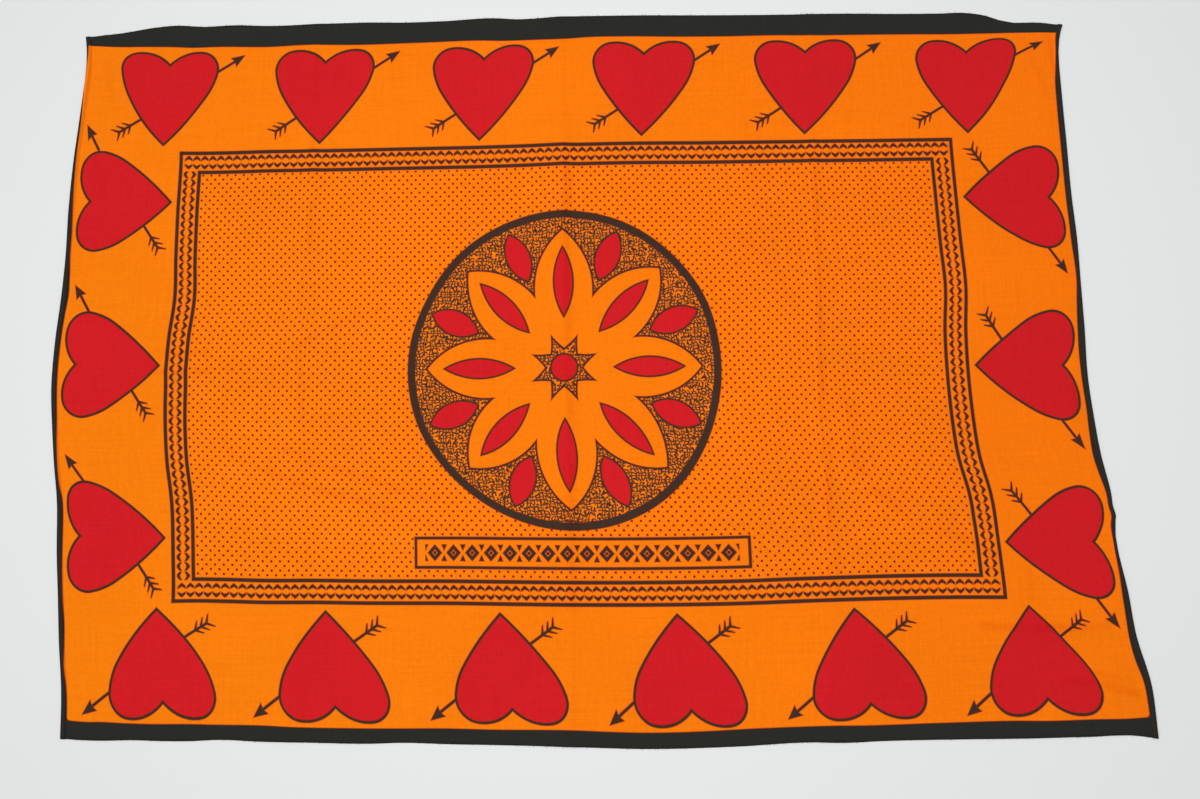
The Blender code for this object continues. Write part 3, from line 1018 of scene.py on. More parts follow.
@dataclass(frozen=True)
class Rosette:
    """Eight orange petals with red veins and red drops between them, on a ground of squiggles."""

    petals: int = 8
    petal: Leaf = Leaf(112.0, 86.0, 43.0)
    vein: Leaf = Leaf(122.0, 50.0, 14.0)
    drop: Leaf = Leaf(171.0, 37.0, 17.5)
    heart_radius: float = 19.0
    line: float = 1.9
    cell: float = 4.7
    stroke: float = 2.05
    wander: float = 3.2
    wander_scale: float = 0.11
    missing: float = 0.86
    second_draw: float = 7.5

    def squiggle(self, spot: Spot) -> Wire:
        """Distance outside curly strokes: quarter circles in small squares, turned at random.

        Args:
            spot: Place on the plan.

        Returns:
            The distance, negative inside a stroke.
        """
        tiles = spot.wandering(self.wander_scale, self.wander).scaled(1 / self.cell, 1 / self.cell)
        corner = tiles.vector("FLOOR")
        inside_x, inside_y, _ = tiles.vector("FRACTION").parts()
        local = Spot.at(corner.chance().above(0.5).blend(inside_x, inside_x.scaled(-1.0, 1.0)), inside_y)
        first = abs(local.circle((0.0, 0.0), 0.5))
        second = abs(local.circle((1.0, 1.0), 0.5)) + corner.chance(self.second_draw).above(self.missing)
        return first.least(second).scaled(self.cell, -self.stroke / 2)

    def field(self, spot: Spot, inner_radius: float) -> tuple[Wire, Wire, Wire]:
        """The rosette's red parts, dark lines and ground.

        Args:
            spot: Place on the plan from the disc's middle.
            inner_radius: Radius of the ground inside the disc's line.

        Returns:
            Distance outside the red parts, outside the dark lines, and outside the squiggles.
        """
        x, y, _ = spot.parts()
        radius = (x * x + y * y).math("SQRT")
        sector = TURN / self.petals
        turn = y.math("ARCTAN2", x).repeat(sector)
        folded = Spot.at(radius * turn.math("COSINE"), radius * turn.math("SINE"))
        petal = self.petal.field(folded)
        vein = self.vein.field(folded)
        lines = petal.outline(self.line).least(vein.outline(self.line))
        other = turn.scaled(-1.0, sector / 2)
        between = Spot.at(radius * other.math("COSINE"), radius * other.math("SINE"))
        drop = self.drop.field(between)
        core = radius - self.heart_radius
        red = vein.least(drop, core)
        lines = lines.least(drop.outline(self.line), core.outline(self.line))
        ground = self.squiggle(spot).most(petal * -1.0, drop * -1.0, core * -1.0, radius - inner_radius)
        return red, lines, ground


@dataclass(frozen=True)
class Ornament:
    """A row of hollow lozenges with a dot in each and a small wedge above and below each gap."""

    pitch: float = 27.4
    half_width: float = 10.2
    half_height: float = 11.0
    stroke: float = 4.2
    dot: float = 2.0
    wedge_half: float = 3.6
    wedge_height: float = 7.6
    count: int = 16

    def field(self, x: Wire, y: Wire) -> Wire:
        """Distance outside the ornaments: lozenges are |x| / width + |y| / height = 1.

        Args:
            x: Place along the row from its middle.
            y: Place across it from its middle.

        Returns:
            The distance, negative inside.
        """
        high = abs(y)
        near = x.repeat(self.pitch, self.pitch / 2)
        size = self.half_width * self.half_height / math.hypot(self.half_width, self.half_height)
        edge = near.scaled(size / self.half_width, high.scaled(size / self.half_height, -size))
        hollow = (edge + self.stroke / 2).outline(self.stroke)
        dot = Spot.at(near, high).circle((0.0, 0.0), self.dot)
        far = near.scaled(-1.0, self.pitch / 2)
        foot = self.wedge_half * (self.half_height - self.wedge_height)
        wedge = far * self.wedge_height - high.scaled(self.wedge_half, 0.0) + foot
        wedge = wedge.scaled(1.0 / math.hypot(self.wedge_height, self.wedge_half), 0.0)
        wedge = wedge.most(high - self.half_height)
        return hollow.least(dot, wedge).most(abs(x) - self.count * self.pitch / 2)


# ------------------------------------------------------------------ finishes


def new_material(
    name: str, roughness: float, specular: float
) -> tuple[bpy.types.Material, bpy.types.NodeTree, bpy.types.Node]:
    """A fresh material with its node tree and its Principled shader.

    Args:
        name: The material's name.
        roughness: The shader's roughness.
        specular: The shader's specular level.

    Returns:
        The material, its tree and its shader.
    """
    material = bpy.data.materials.new(name)
    material.use_nodes = True
    shader = material.node_tree.nodes["Principled BSDF"]
    shader.inputs["Roughness"].default_value = roughness
    shader.inputs["Specular IOR Level"].default_value = specular
    return material, material.node_tree, shader


def bump(shader: bpy.types.Node, height: Wire, strength: float, deep: float) -> None:
    """Give the shader a bump from a height of 0 to 1.

    Args:
        shader: The shader to bump.
        height: The height.
        strength: Share of the bump that shows.
        deep: Depth in metres for a height of 1.
    """
    node = shader.id_data.nodes.new("ShaderNodeBump")
    node.inputs["Strength"].default_value = strength
    node.inputs["Distance"].default_value = deep
    height.into(node, "Height")
    Carried(node.outputs[0]).into(shader, "Normal")


def from_mesh(tree: bpy.types.NodeTree, name: str, output: str = "Vector") -> bpy.types.NodeSocket:
    """The socket that carries one of the mesh's own maps or numbers.

    Args:
        tree: The material's node tree.
        name: The map's name.
        output: Blender's name of the socket: Vector for a map, Fac for a number.

    Returns:
        The socket.
    """
    node = tree.nodes.new("ShaderNodeAttribute")
    node.attribute_name = name
    return node.outputs[output]


@dataclass(frozen=True)
class CottonPrint:
    """Plain-weave cotton printed in orange, red and a dark ink, with a thin red edge by the ink, and
    painted shade along the creases, the hems' inner edges and towards the upper right.

    The thread's pitch and the print's edges are mm; noise scales are bumps to a metre.
    """

    name: str
    orange: Colour
    # painted shade: the darker orange that the ground fades to towards the upper right, where the light
    # falls off
    shaded_orange: Colour
    red: Colour
    # painted shade: the darker red that the motifs fade to towards the upper right
    shaded_red: Colour
    dot: Colour
    ink: Colour
    band: Colour
    fringe: Colour
    # painted shade that multiplies the colour along the creases and along each hem's inner edge
    crease_shade_colour: Colour
    roughness: float = 0.88
    specular: float = 0.05
    thread_pitch: float = 0.42
    thread_share: float = 0.25
    slub_share: float = 0.35
    warp_slubs: tuple[float, float] = (30.0, 900.0)
    weft_slubs: tuple[float, float] = (900.0, 40.0)
    weave_strength: float = 0.35
    weave_depth: float = 0.00006
    broad_scale: float = 5.0
    broad_share: float = 0.10
    mottle_scale: float = 170.0
    mottle_share: float = 0.14
    warp_streaks: tuple[float, float] = (9.0, 420.0)
    weft_streaks: tuple[float, float] = (420.0, 12.0)
    streak_share: float = 0.12
    # how the painted shade of the light's falloff grows along and across the cloth, and where it starts
    falloff_along: float = 0.5
    falloff_across: float = 0.275
    falloff_start: float = -0.019
    soft: float = 0.9
    fringe_reach: float = 0.6
    fringe_soft: float = 1.2
    clear_of_frame: float = 3.0
    clear_of_box: float = 3.2

    def weave(self, flat: Spot) -> Wire:
        """Height of the weave: warp and weft waves multiplied, with thicker threads here and there.

        Args:
            flat: Place on the flat cloth, in metres.

        Returns:
            The height, about 0.35 in the mean.
        """
        along, across, _ = flat.parts()
        waves = TURN / (self.thread_pitch * MM)
        crossing = (along * waves).math("SINE") * (across * waves).math("SINE")
        warp, weft = flat.scaled(*self.warp_slubs), flat.scaled(*self.weft_slubs)
        slub = warp.noise(1.0, 0.0) + weft.noise(1.0, 0.0)
        return crossing.scaled(self.thread_share, slub * self.slub_share)

    def unevenness(self, flat: Spot) -> Wire:
        """Brightness of the dye: broad patches, a small mottle, fine warp and fine weft streaks.

        Args:
            flat: Place on the flat cloth, in metres.

        Returns:
            The brightness, about 1.
        """
        broad, mottle = flat.noise(self.broad_scale, 2.0), flat.noise(self.mottle_scale, 2.0)
        warp = flat.scaled(*self.warp_streaks).noise(1.0)
        weft = flat.scaled(*self.weft_streaks).noise(1.0)
        share = self.streak_share
        streaks = warp.scaled(share, weft.scaled(share, 1.0 - 2 * share))
        return broad.scaled(self.broad_share, mottle.scaled(self.mottle_share, streaks))

    def dyed_with_painted_falloff(self, along: Wire, across: Wire, red: Wire) -> Carried:
        """Orange ground and red motifs, both darker towards the upper right: painted shade for the light
        falling off there.

        Args:
            along: Flat distance along, in metres.
            across: Flat distance across, in metres.
            red: Distance outside the red motifs.

        Returns:
            The colour.
        """
        share = along.scaled(self.falloff_along, across.scaled(self.falloff_across, self.falloff_start))
        ground = share.dye(self.orange, self.shaded_orange)
        motifs = share.dye(self.red, self.shaded_red)
        return red.cover(self.soft).dye(ground, motifs)

    def frame_ink(self, x: Wire, y: Wire, pulled_x: Wire, pulled_y: Wire) -> tuple[Wire, Wire]:
        """The frame's two lines with its rows of carets, and the frame's inner edge.

        A caret is what lies under a steep gable and over a low one, cut straight at its feet; a
        row of them runs across above and below the panel, and a column of them up its sides.

        Args:
            x: Place along the plan.
            y: Place across the plan.
            pulled_x: Place along the print that the weave has pulled.
            pulled_y: Place across it.

        Returns:
            Distance outside the dark lines, and distance outside the frame's inner line.
        """
        outer = box_field(x, y, LAYOUT.frame_middle, LAYOUT.frame_half)
        inner = box_field(x, y, LAYOUT.inner_middle, LAYOUT.inner_half)
        lines = outer.outline(LAYOUT.frame_line).least(inner.outline(LAYOUT.frame_line))
        wide, high = abs(x), abs(y)
        level = high.above(LAYOUT.caret_ends[1])
        row = pulled_x - LAYOUT.frame_middle[0]
        columns = pulled_y.scaled(1 / LAYOUT.caret_tall, 0.0)
        plain = level.blend(columns, row - LAYOUT.pitch / 2).repeat(LAYOUT.pitch)
        run = (plain * plain + LAYOUT.caret_round ** 2).math("SQRT")
        deep = abs(level.blend(wide - LAYOUT.caret_rows[0], high - LAYOUT.caret_rows[1]))
        (apex, steep), (foot, low) = LAYOUT.caret_outer, LAYOUT.caret_inner
        under = run.scaled(steep, deep - apex) * math.cos(math.atan(steep))
        above = (run.scaled(low, deep - foot)) * -math.cos(math.atan(low))
        ends = (plain - LAYOUT.caret_half).most(abs(row) - LAYOUT.caret_ends[0])
        return lines.least(under.most(above, ends)), inner

    def dots(self, x: Wire, y: Wire, panel: Wire, disc: Wire, box: Wire) -> Wire:
        """Distance outside the dots: marks where two slanting rows cross, clear of disc and box.

        Args:
            x: Place along the print that the weave has pulled.
            y: Place across it.
            panel: Distance outside the frame's inner line.
            disc: Distance outside the disc.
            box: Distance outside the box.

        Returns:
            The distance, negative inside a dot.
        """
        x, y = x - LAYOUT.dots_middle[0], y - LAYOUT.dots_middle[1]
        pitch = LAYOUT.pitch
        nearest = Spot.at((x + y).repeat(pitch, pitch / 2), (x - y).repeat(pitch, pitch / 2))
        dots = nearest.circle((0.0, 0.0), LAYOUT.dot_radius * math.sqrt(2.0)) * math.sqrt(0.5)
        return dots.most(panel + self.clear_of_frame, disc * -1.0, box.scaled(-1.0, self.clear_of_box))

    def material(self) -> bpy.types.Material:
        """The print: every motif is a distance in mm, and the least distance is what shows.

        Returns:
            The material.
        """
        material, tree, shader = new_material(self.name, self.roughness, self.specular)
        flat = Spot(from_mesh(tree, FLAT_MAP))
        along, across, _ = flat.parts()
        x = along.scaled(1 / MM, -LAYOUT.middle_along)
        y = across.scaled(1 / (MM * LAYOUT.stretch), -LAYOUT.middle_across / LAYOUT.stretch)
        pull_along, pull_up, _ = Spot(from_mesh(tree, PULL_MAP)).parts()
        pulled_x, pulled_y = x + pull_along, y + pull_up
        plan = Spot.at(pulled_x, pulled_y)
        ink, panel = self.frame_ink(x, y, pulled_x, pulled_y)
        disc = plan.circle(LAYOUT.disc_middle, LAYOUT.disc_radius)
        ink = ink.least(disc.outline(LAYOUT.disc_line))
        box = box_field(x, y, LAYOUT.box_middle, LAYOUT.box_half)
        row = Ornament().field(x - LAYOUT.box_middle[0], y - LAYOUT.box_middle[1])
        ink = ink.least(box.outline(LAYOUT.box_line), row)
        dots = self.dots(pulled_x, pulled_y, panel, disc, box)
        centred = plan.vector("SUBTRACT", (*LAYOUT.disc_middle, 0.0))
        red, lines, ground = Rosette().field(centred, LAYOUT.disc_radius)
        ink = ink.least(lines)
        leant, up, _ = Spot(from_mesh(tree, HEART_MAP)).parts()
        ahead, off, _ = Spot(from_mesh(tree, ARROW_MAP)).parts()
        body, heart_lines = HeartMotif().ink(leant, up, ahead, off)
        ink = ink.least(heart_lines)
        edge = Wire(from_mesh(tree, BAND_DEPTH, "Fac")) * -1.0
        # the dye, with painted shade darkening it towards the upper right
        colour = self.dyed_with_painted_falloff(along, across, red.least(body))
        colour = dots.cover(self.soft).dye(colour, self.dot)
        colour = (ink.least(edge) - self.fringe_reach).cover(self.fringe_soft).dye(colour, self.fringe)
        colour = ink.least(ground).cover(self.soft).dye(colour, self.ink)
        colour = edge.cover(self.soft).dye(colour, self.band)
        # Painted shade: the colour is darkened along the creases and along each hem's inner edge.
        colour = Wire(from_mesh(tree, CREASE_SHADE_MAP, "Fac")).dye(colour, self.crease_shade_colour, "MULTIPLY")
        tint = tree.nodes.new("ShaderNodeHueSaturation")
        self.unevenness(flat).into(tint, "Value")
        colour.into(tint, "Color")
        Carried(tint.outputs[0]).into(shader, "Base Color")
        bump(shader, self.weave(flat), self.weave_strength, self.weave_depth)
        return material


# In each print the second orange and second red are painted shade for the light falling off towards the
# upper right, and the last colour is painted shade along the creases and hem edges.
FACE_PRINT = CottonPrint(
    "printed_face",
    orange=(0.970, 0.2190, 0.0025),
    shaded_orange=(0.960, 0.1800, 0.0025),
    red=(0.660, 0.0120, 0.0170),
    shaded_red=(0.605, 0.0120, 0.0170),
    dot=(0.270, 0.0040, 0.0030),
    ink=(0.0520, 0.0270, 0.0180),
    band=(0.0235, 0.0235, 0.0205),
    fringe=(0.400, 0.0200, 0.0060),
    crease_shade_colour=(0.965, 0.870, 0.800),
)
REVERSE_PRINT = CottonPrint(
    "print_showing_through",
    orange=(0.860, 0.320, 0.0450),
    shaded_orange=(0.850, 0.290, 0.0450),
    red=(0.570, 0.0900, 0.0600),
    shaded_red=(0.540, 0.0900, 0.0600),
    dot=(0.500, 0.1100, 0.0300),
    ink=(0.1500, 0.1000, 0.0750),
    band=(0.0850, 0.0700, 0.0580),
    fringe=(0.620, 0.1700, 0.0400),
    crease_shade_colour=(0.970, 0.900, 0.850),
)


@dataclass(frozen=True)
class FibreFinish:
    """Cotton yarn or fibre in one colour, a little uneven, with a fine twist across it."""

    name: str
    dark: Colour
    light: Colour
    roughness: float = 0.8
    specular: float = 0.15
    grain: float = 900.0
    twist: float = 2700.0
    twist_strength: float = 0.4
    twist_depth: float = 0.0001

    def material(self) -> bpy.types.Material:
        """The fibre's colour and twist, uneven in Object coordinates.

        Returns:
            The material.
        """
        material, tree, shader = new_material(self.name, self.roughness, self.specular)
        spot = Spot(tree.nodes.new("ShaderNodeTexCoord").outputs["Object"])
        spot.noise(self.grain, 2.0).dye(self.dark, self.light).into(shader, "Base Color")
        bump(shader, spot.noise(self.twist), self.twist_strength, self.twist_depth)
        return material


HEM_LAYERS = FibreFinish("hem_layers", (0.020, 0.016, 0.014), (0.055, 0.042, 0.034))
HEM_THREAD = FibreFinish("hem_thread", (0.055, 0.018, 0.010), (0.130, 0.036, 0.014))
SELVEDGE_FIBRE = FibreFinish("selvedge_fibre", (0.020, 0.017, 0.015), (0.075, 0.058, 0.045))


@dataclass(frozen=True)
class PaleFloor:
    """A plain pale floor."""

    colour: Colour = (0.820, 0.837, 0.835)
    roughness: float = 0.9
    specular: float = 0.1

    def material(self) -> bpy.types.Material:
        """The floor's plain colour.

        Returns:
            The material.
        """
        material, _, shader = new_material("pale_floor", self.roughness, self.specular)
        shader.inputs["Base Color"].default_value = (*self.colour, 1.0)
        return material


# ------------------------------------------------------------------ meshes


FLAT_MAP = "flat_cloth"
HEART_MAP = "heart_places"
ARROW_MAP = "arrow_places"
PULL_MAP = "print_pull"
BAND_DEPTH = "band_depth"
# Name of the painted shade along the creases and hem edges, kept on the sheet's points.
CREASE_SHADE_MAP = "crease_shade_paint"
BAKE_MAP = "OFBake"
FINE_STEPS = 20000
THREAD_SHARES = (0.03, 0.2, 0.5, 0.8, 0.97)


def new_piece(
    name: str, points: Grid, faces: list[Grid], materials: list[bpy.types.Material]
) -> bpy.types.Object:
    """A mesh object at the origin from points and blocks of faces.

    Args:
        name: The piece's name.
        points: One row of x, y and z for each point.
        faces: Blocks of faces, each with a row of point numbers for each face.
        materials: The materials of its slots.

    Returns:
        The object, smooth shaded.
    """
    mesh = bpy.data.meshes.new(name)
    sizes = np.concatenate([np.full(len(block), block.shape[1]) for block in faces])
    corners = np.concatenate([block.ravel() for block in faces])
    mesh.vertices.add(len(points))
    mesh.vertices.foreach_set("co", points.astype(np.float32).ravel())
    mesh.loops.add(len(corners))
    mesh.loops.foreach_set("vertex_index", corners.astype(np.int32))
    mesh.polygons.add(len(sizes))
    mesh.polygons.foreach_set("loop_start", (np.cumsum(sizes) - sizes).astype(np.int32))
    mesh.polygons.foreach_set("use_smooth", np.ones(len(sizes), bool))
    for material in materials:
        mesh.materials.append(material)
    mesh.update(calc_edges=True)
    piece = bpy.data.objects.new(name, mesh)
    bpy.context.scene.collection.objects.link(piece)
    return piece


def grid_faces(number: Grid) -> Grid:
    """Quads between neighbouring rows and columns of point numbers, facing up where both rise."""
    corners = [number[:-1, :-1], number[:-1, 1:], number[1:, 1:], number[1:, :-1]]
    return np.stack(corners, axis=-1).reshape(-1, 4)


def rim_of(number: Grid) -> Grid:
    """Point numbers round the border of a grid, anticlockwise from its first corner."""
    return np.concatenate([number[0, :], number[1:, -1], number[-1, -2::-1], number[-2:0:-1, 0]])


def gathered(length: float, count: int, places: list[float], width: float, crowd: float) -> Grid:
    """Distances from 0 to length that stand closer near some places.

    The crowd at a place adds a bell of the given width to an even density; the distances are
    read off the density's running sum at even steps.

    Args:
        length: The whole length.
        count: How many distances.
        places: Where they stand closer.
        width: Width of each crowd.
        crowd: How many times closer they stand.

    Returns:
        The distances, rising.
    """
    fine = np.linspace(0.0, length, FINE_STEPS + 1)
    density = np.ones_like(fine)
    for place in places:
        density += crowd * np.exp(-((fine - place) / width) ** 2)
    total = np.concatenate([[0.0], np.cumsum((density[1:] + density[:-1]) / 2)])
    return np.interp(np.linspace(0.0, total[-1], count), total, fine)


@dataclass
class ClothSheet:
    """The whole printed sheet: a fine upper grid, a coarser underside and a rim between them.

    The bake sizes are shares of the bake map's side.
    """

    columns: int = 365
    rows: int = 230
    coarse: int = 5
    crowd_width: float = 0.011
    crowd: float = 2.6
    bake_margin: float = 0.004
    bake_face: float = 0.992
    bake_back: float = 0.285
    bake_back_start: float = 0.708
    bake_rim: tuple[float, float] = (0.44, 0.72)
    bake_rim_size: tuple[float, float] = (0.54, 0.01)

    def grid(self) -> tuple[Grid, Grid]:
        """Flat distances of the points: columns follow the folds and crowd by them and the hems.

        Returns:
            Distances from the left end, a row for each across, and the rows' distances across.
        """
        starts, stops = [0.0, LIE.hem_width], [LIE.length - LIE.hem_width, LIE.length]
        places = [*starts, *(fold.lower_along * MM for fold in FOLDS), *stops]
        upper_places = [*starts, *(fold.upper_along * MM for fold in FOLDS), *stops]
        count = self.columns // self.coarse * self.coarse + 1
        lower = gathered(LIE.length, count, places, self.crowd_width, self.crowd)
        upper = np.interp(lower, places, upper_places)
        across = np.linspace(0.0, LIE.depth, self.rows // self.coarse * self.coarse + 1)
        return lower + (upper - lower) * across[:, None] / LIE.depth, across

    def build(self) -> bpy.types.Object:
        """Make the sheet's mesh with the maps and numbers that its print is drawn from.

        Returns:
            The sheet.
        """
        along, across = self.grid()
        x, y = LIE.place(along, across)
        under = LIE.rise(along, across, x, y)
        step = self.coarse
        upper = np.stack([x, y, under + LIE.thickness], axis=-1)
        lower = np.stack([x, y, self.lowest(under)], axis=-1)[::step, ::step]
        points = np.concatenate([upper.reshape(-1, 3), lower.reshape(-1, 3)])
        top = np.arange(x.size).reshape(x.shape)
        bottom = x.size + np.arange(lower.shape[0] * lower.shape[1]).reshape(lower.shape[:2])
        fine_rim, coarse_rim = rim_of(top), rim_of(bottom)
        run = np.arange(len(coarse_rim))[:, None] * step + np.arange(step, -1, -1)[None, :]
        rim = np.column_stack([coarse_rim, np.roll(coarse_rim, -1), fine_rim[run % len(fine_rim)]])
        faces = [grid_faces(top), grid_faces(bottom)[:, ::-1], rim]
        piece = new_piece("cloth", points, faces, [FACE_PRINT.material(), REVERSE_PRINT.material()])
        mesh = piece.data
        slots = np.concatenate([np.zeros(len(faces[0])), np.ones(len(faces[1])), np.zeros(len(rim))])
        mesh.polygons.foreach_set("material_index", slots.astype(np.int32))
        mesh.polygons.foreach_set("use_smooth", np.arange(len(slots)) < len(slots) - len(rim))
        flat = np.stack(np.broadcast_arrays(along, across[:, None]), axis=-1)
        flats = np.concatenate([flat.reshape(-1, 2), flat[::step, ::step].reshape(-1, 2)])
        corners = [flats[block] for block in faces]
        self.write_places(mesh, corners)
        self.write_bake_map(mesh, corners)
        self.write_numbers(mesh, BAND_DEPTH, band_depth(along / MM, across / MM))
        # painted shade along the creases and the hems' inner edges, kept on the points
        self.write_numbers(mesh, CREASE_SHADE_MAP, LIE.painted_crease_shade(along, x, y))
        return piece

    def write_numbers(self, mesh: bpy.types.Mesh, name: str, values: Grid) -> None:
        """Keep one number for each point of the upper and the under grid.

        Args:
            mesh: The sheet's mesh.
            name: The attribute's name.
            values: The numbers on the fine grid.
        """
        numbers = mesh.attributes.new(name, "FLOAT", "POINT")
        under = values[::self.coarse, ::self.coarse]
        numbers.data.foreach_set("value", self.joined([values, under]))

    def lowest(self, height: Grid) -> Grid:
        """Least height within one coarse step of each point, so that the underside stays below.

        Args:
            height: The height of every grid point.

        Returns:
            The least height near every grid point.
        """
        step = self.coarse
        padded = np.pad(height, step, mode="edge")
        windows = np.lib.stride_tricks.sliding_window_view(padded, (2 * step + 1, 2 * step + 1))
        return windows.min(axis=(2, 3))

    def write_places(self, mesh: bpy.types.Mesh, corners: list[Grid]) -> None:
        """Write the flat map and the print's places on the mesh.

        Args:
            mesh: The sheet's mesh.
            corners: Flat places of the corners of its upper, lower and rim faces.
        """
        mesh.uv_layers.new(name=FLAT_MAP).data.foreach_set("uv", self.joined(corners))
        flats = [(block[..., 0] / MM, block[..., 1] / MM) for block in corners]
        hearts = [heart_places(*block) for block in flats]
        maps = {
            HEART_MAP: [block[..., 0, :] for block in hearts],
            ARROW_MAP: [block[..., 1, :] for block in hearts],
            PULL_MAP: [print_pull(*block) for block in flats],
        }
        for name, places in maps.items():
            kept = mesh.attributes.new(name, "FLOAT_VECTOR", "CORNER")
            kept.data.foreach_set("vector", self.joined(places))

    def write_bake_map(self, mesh: bpy.types.Mesh, corners: list[Grid]) -> None:
        """Lay the face across the bake map, the back small above it and the rim in a strip beside.

        Args:
            mesh: The sheet's mesh.
            corners: Flat places of the corners of its upper, lower and rim faces.
        """
        upper, lower, edge = corners
        face = upper * (self.bake_face / LIE.length) + self.bake_margin
        back = lower * (self.bake_back / LIE.depth) + (self.bake_margin, self.bake_back_start)
        (left, low), (length, height) = self.bake_rim, self.bake_rim_size
        strip = np.stack([np.full(edge.shape[:2], left), np.full(edge.shape[:2], low + height)], axis=-1)
        strip[..., 0] += length * np.arange(len(edge))[:, None] / len(edge)
        strip[:, :2, 1] = low
        strip[:, 1, 0] += length / len(edge)
        strip[:, 2:, 0] += np.linspace(1.0, 0.0, self.coarse + 1) * length / len(edge)
        mesh.uv_layers.new(name=BAKE_MAP).data.foreach_set("uv", self.joined([face, back, strip]))

    def joined(self, blocks: list[Grid]) -> Grid:
        """All the blocks' numbers in one flat row, as a mesh holds them."""
        return np.concatenate([block.reshape(-1) for block in blocks]).astype(np.float32)

    def dress(self, hems: list[bpy.types.Object]) -> None:
        """Build the sheet in place of its solid.

        Args:
            hems: The hems, stitches and fibres that belong to the cloth; not used.
        """
        piece = self.build()
        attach(piece, BODY)
        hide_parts("cloth_panel")
        LOG.info("cloth: %d faces", len(piece.data.polygons))


class End(Enum):
    """The two cut ends of the cloth."""

    LEFT = "left"
    RIGHT = "right"

    def along(self, inset: Grid) -> Grid:
        """Flat distance from the left end of points that lie inset from this end."""
        return inset if self is End.LEFT else LIE.length - inset


class Selvedge(Enum):
    """The two woven edges of the cloth."""

    LOWER = "lower"
    UPPER = "upper"


@dataclass
class RolledHem:
    """The turned layers under one cut end: an oval roll carried along the end."""

    end: End
    width: float = 0.0066
    height: float = 0.0018
    inset: float = 0.0003
    squareness: float = 0.55
    end_gap: float = 0.0004
    sides: int = 14
    rows: int = 200

    def build(self) -> bpy.types.Object:
        """The roll: a flattened ring (power 0.55 of an ellipse) at each step along the end.

        Returns:
            The hem.
        """
        turn = np.arange(self.sides) * TURN / self.sides
        ring = np.stack([np.cos(turn), np.sin(turn)])
        ring = 1.0 + np.sign(ring) * np.abs(ring) ** self.squareness
        across = np.linspace(self.end_gap, LIE.depth - self.end_gap, self.rows)
        x, y = LIE.place(self.end.along(self.inset + self.width / 2 * ring[0]), across)
        points = np.stack([x, y, np.broadcast_to(self.height / 2 * ring[1], x.shape)], axis=-1)
        number = np.arange(x.size).reshape(x.shape)
        skin = grid_faces(np.column_stack([number, number[:, :1]]))
        caps = np.stack([number[0, ::-1], number[-1]])
        if self.end is End.RIGHT:
            skin, caps = skin[:, ::-1], caps[:, ::-1]
        return new_piece(
            f"hem_{self.end.value}", points.reshape(-1, 3), [skin[:, ::-1], caps[:, ::-1]],
            [HEM_LAYERS.material()],
        )

    def dress(self) -> bpy.types.Object:
        """Build the hem in place of its solid.

        Returns:
            The hem.
        """
        piece = self.build()
        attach(piece, BODY)
        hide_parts(f"hem_{self.end.value}_end")
        LOG.info("hem at the %s end", self.end.value)
        return piece


def tubes(
    starts: Grid, headings: Grid, lengths: Grid, radius: float, sides: int, lift: Grid
) -> tuple[Grid, list[Grid]]:
    """Many short round threads as joined tubes that taper to both ends.

    A tube's ring k stands at share t of its length with radius times the square root of
    1 - (2t - 1) to the fourth; its middle bows up by lift times 1 - (2t - 1) squared.

    Args:
        starts: Start of each thread.
        headings: Unit heading of each thread.
        lengths: Length of each.
        radius: Radius of every thread's middle.
        sides: Sides of each tube.
        lift: Height of each bow.

    Returns:
        The points and the blocks of faces.
    """
    share = np.array(THREAD_SHARES)
    bell = 1.0 - (2 * share - 1) ** 2
    girth = np.sqrt(1.0 - (2 * share - 1) ** 4)
    turn = np.arange(sides) * TURN / sides
    side = np.cross(headings, (0.0, 0.0, 1.0))
    side /= np.linalg.norm(side, axis=1)[:, None]
    up = np.cross(side, headings)
    middle = starts[:, None, :] + headings[:, None, :] * (share[None, :] * lengths[:, None])[..., None]
    middle = middle + (lift[:, None] * bell[None, :])[..., None] * np.array((0.0, 0.0, 1.0))
    size = (radius * girth)[:, None, None]
    ring = np.cos(turn)[:, None] * side[:, None, None, :] + np.sin(turn)[:, None] * up[:, None, None, :]
    points = middle[:, :, None, :] + size * ring
    count = len(starts)
    number = np.arange(count * len(share) * sides).reshape(count, len(share), sides)
    after = np.roll(number, -1, axis=2)
    skin = np.stack([number[:, :-1], after[:, :-1], after[:, 1:], number[:, 1:]], axis=-1)
    caps = np.concatenate([number[:, 0, ::-1], number[:, -1]])
    return points.reshape(-1, 3), [skin.reshape(-1, 4)[:, ::-1], caps[:, ::-1]]


@dataclass
class StitchRow:
    """The machine stitching that holds one hem; sunk and bow are shares of the thread's radius."""

    end: End
    inset: float = 0.0053
    pitch: float = 0.0031
    gap: float = 0.0006
    end_gap: float = 0.004
    radius: float = 0.00021
    sunk: float = 0.4
    bow: float = 0.5
    sides: int = 6

    def build(self) -> bpy.types.Object:
        """A row of stitches: short threads from hole to hole along the hem's inner edge.

        Returns:
            The stitches.
        """
        holes = np.arange(self.end_gap, LIE.depth - self.end_gap, self.pitch)
        x, y = LIE.place(self.end.along(np.array([self.inset])), holes)
        level = np.full(len(holes), LIE.hem_height - self.sunk * self.radius)
        holes = np.column_stack([x[:, 0], y[:, 0], level])
        run = np.diff(holes, axis=0)
        whole = np.linalg.norm(run, axis=1)
        headings = run / whole[:, None]
        starts = holes[:-1] + headings * self.gap / 2
        bows = np.full(len(whole), self.radius * self.bow)
        points, faces = tubes(starts, headings, whole - self.gap, self.radius, self.sides, bows)
        return new_piece(f"hem_stitches_{self.end.value}", points, faces, [HEM_THREAD.material()])

    def dress(self) -> bpy.types.Object:
        """Build the stitches on their hem.

        Returns:
            The stitches.
        """
        piece = self.build()
        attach(piece, BODY)
        LOG.info("stitches at the %s end", self.end.value)
        return piece


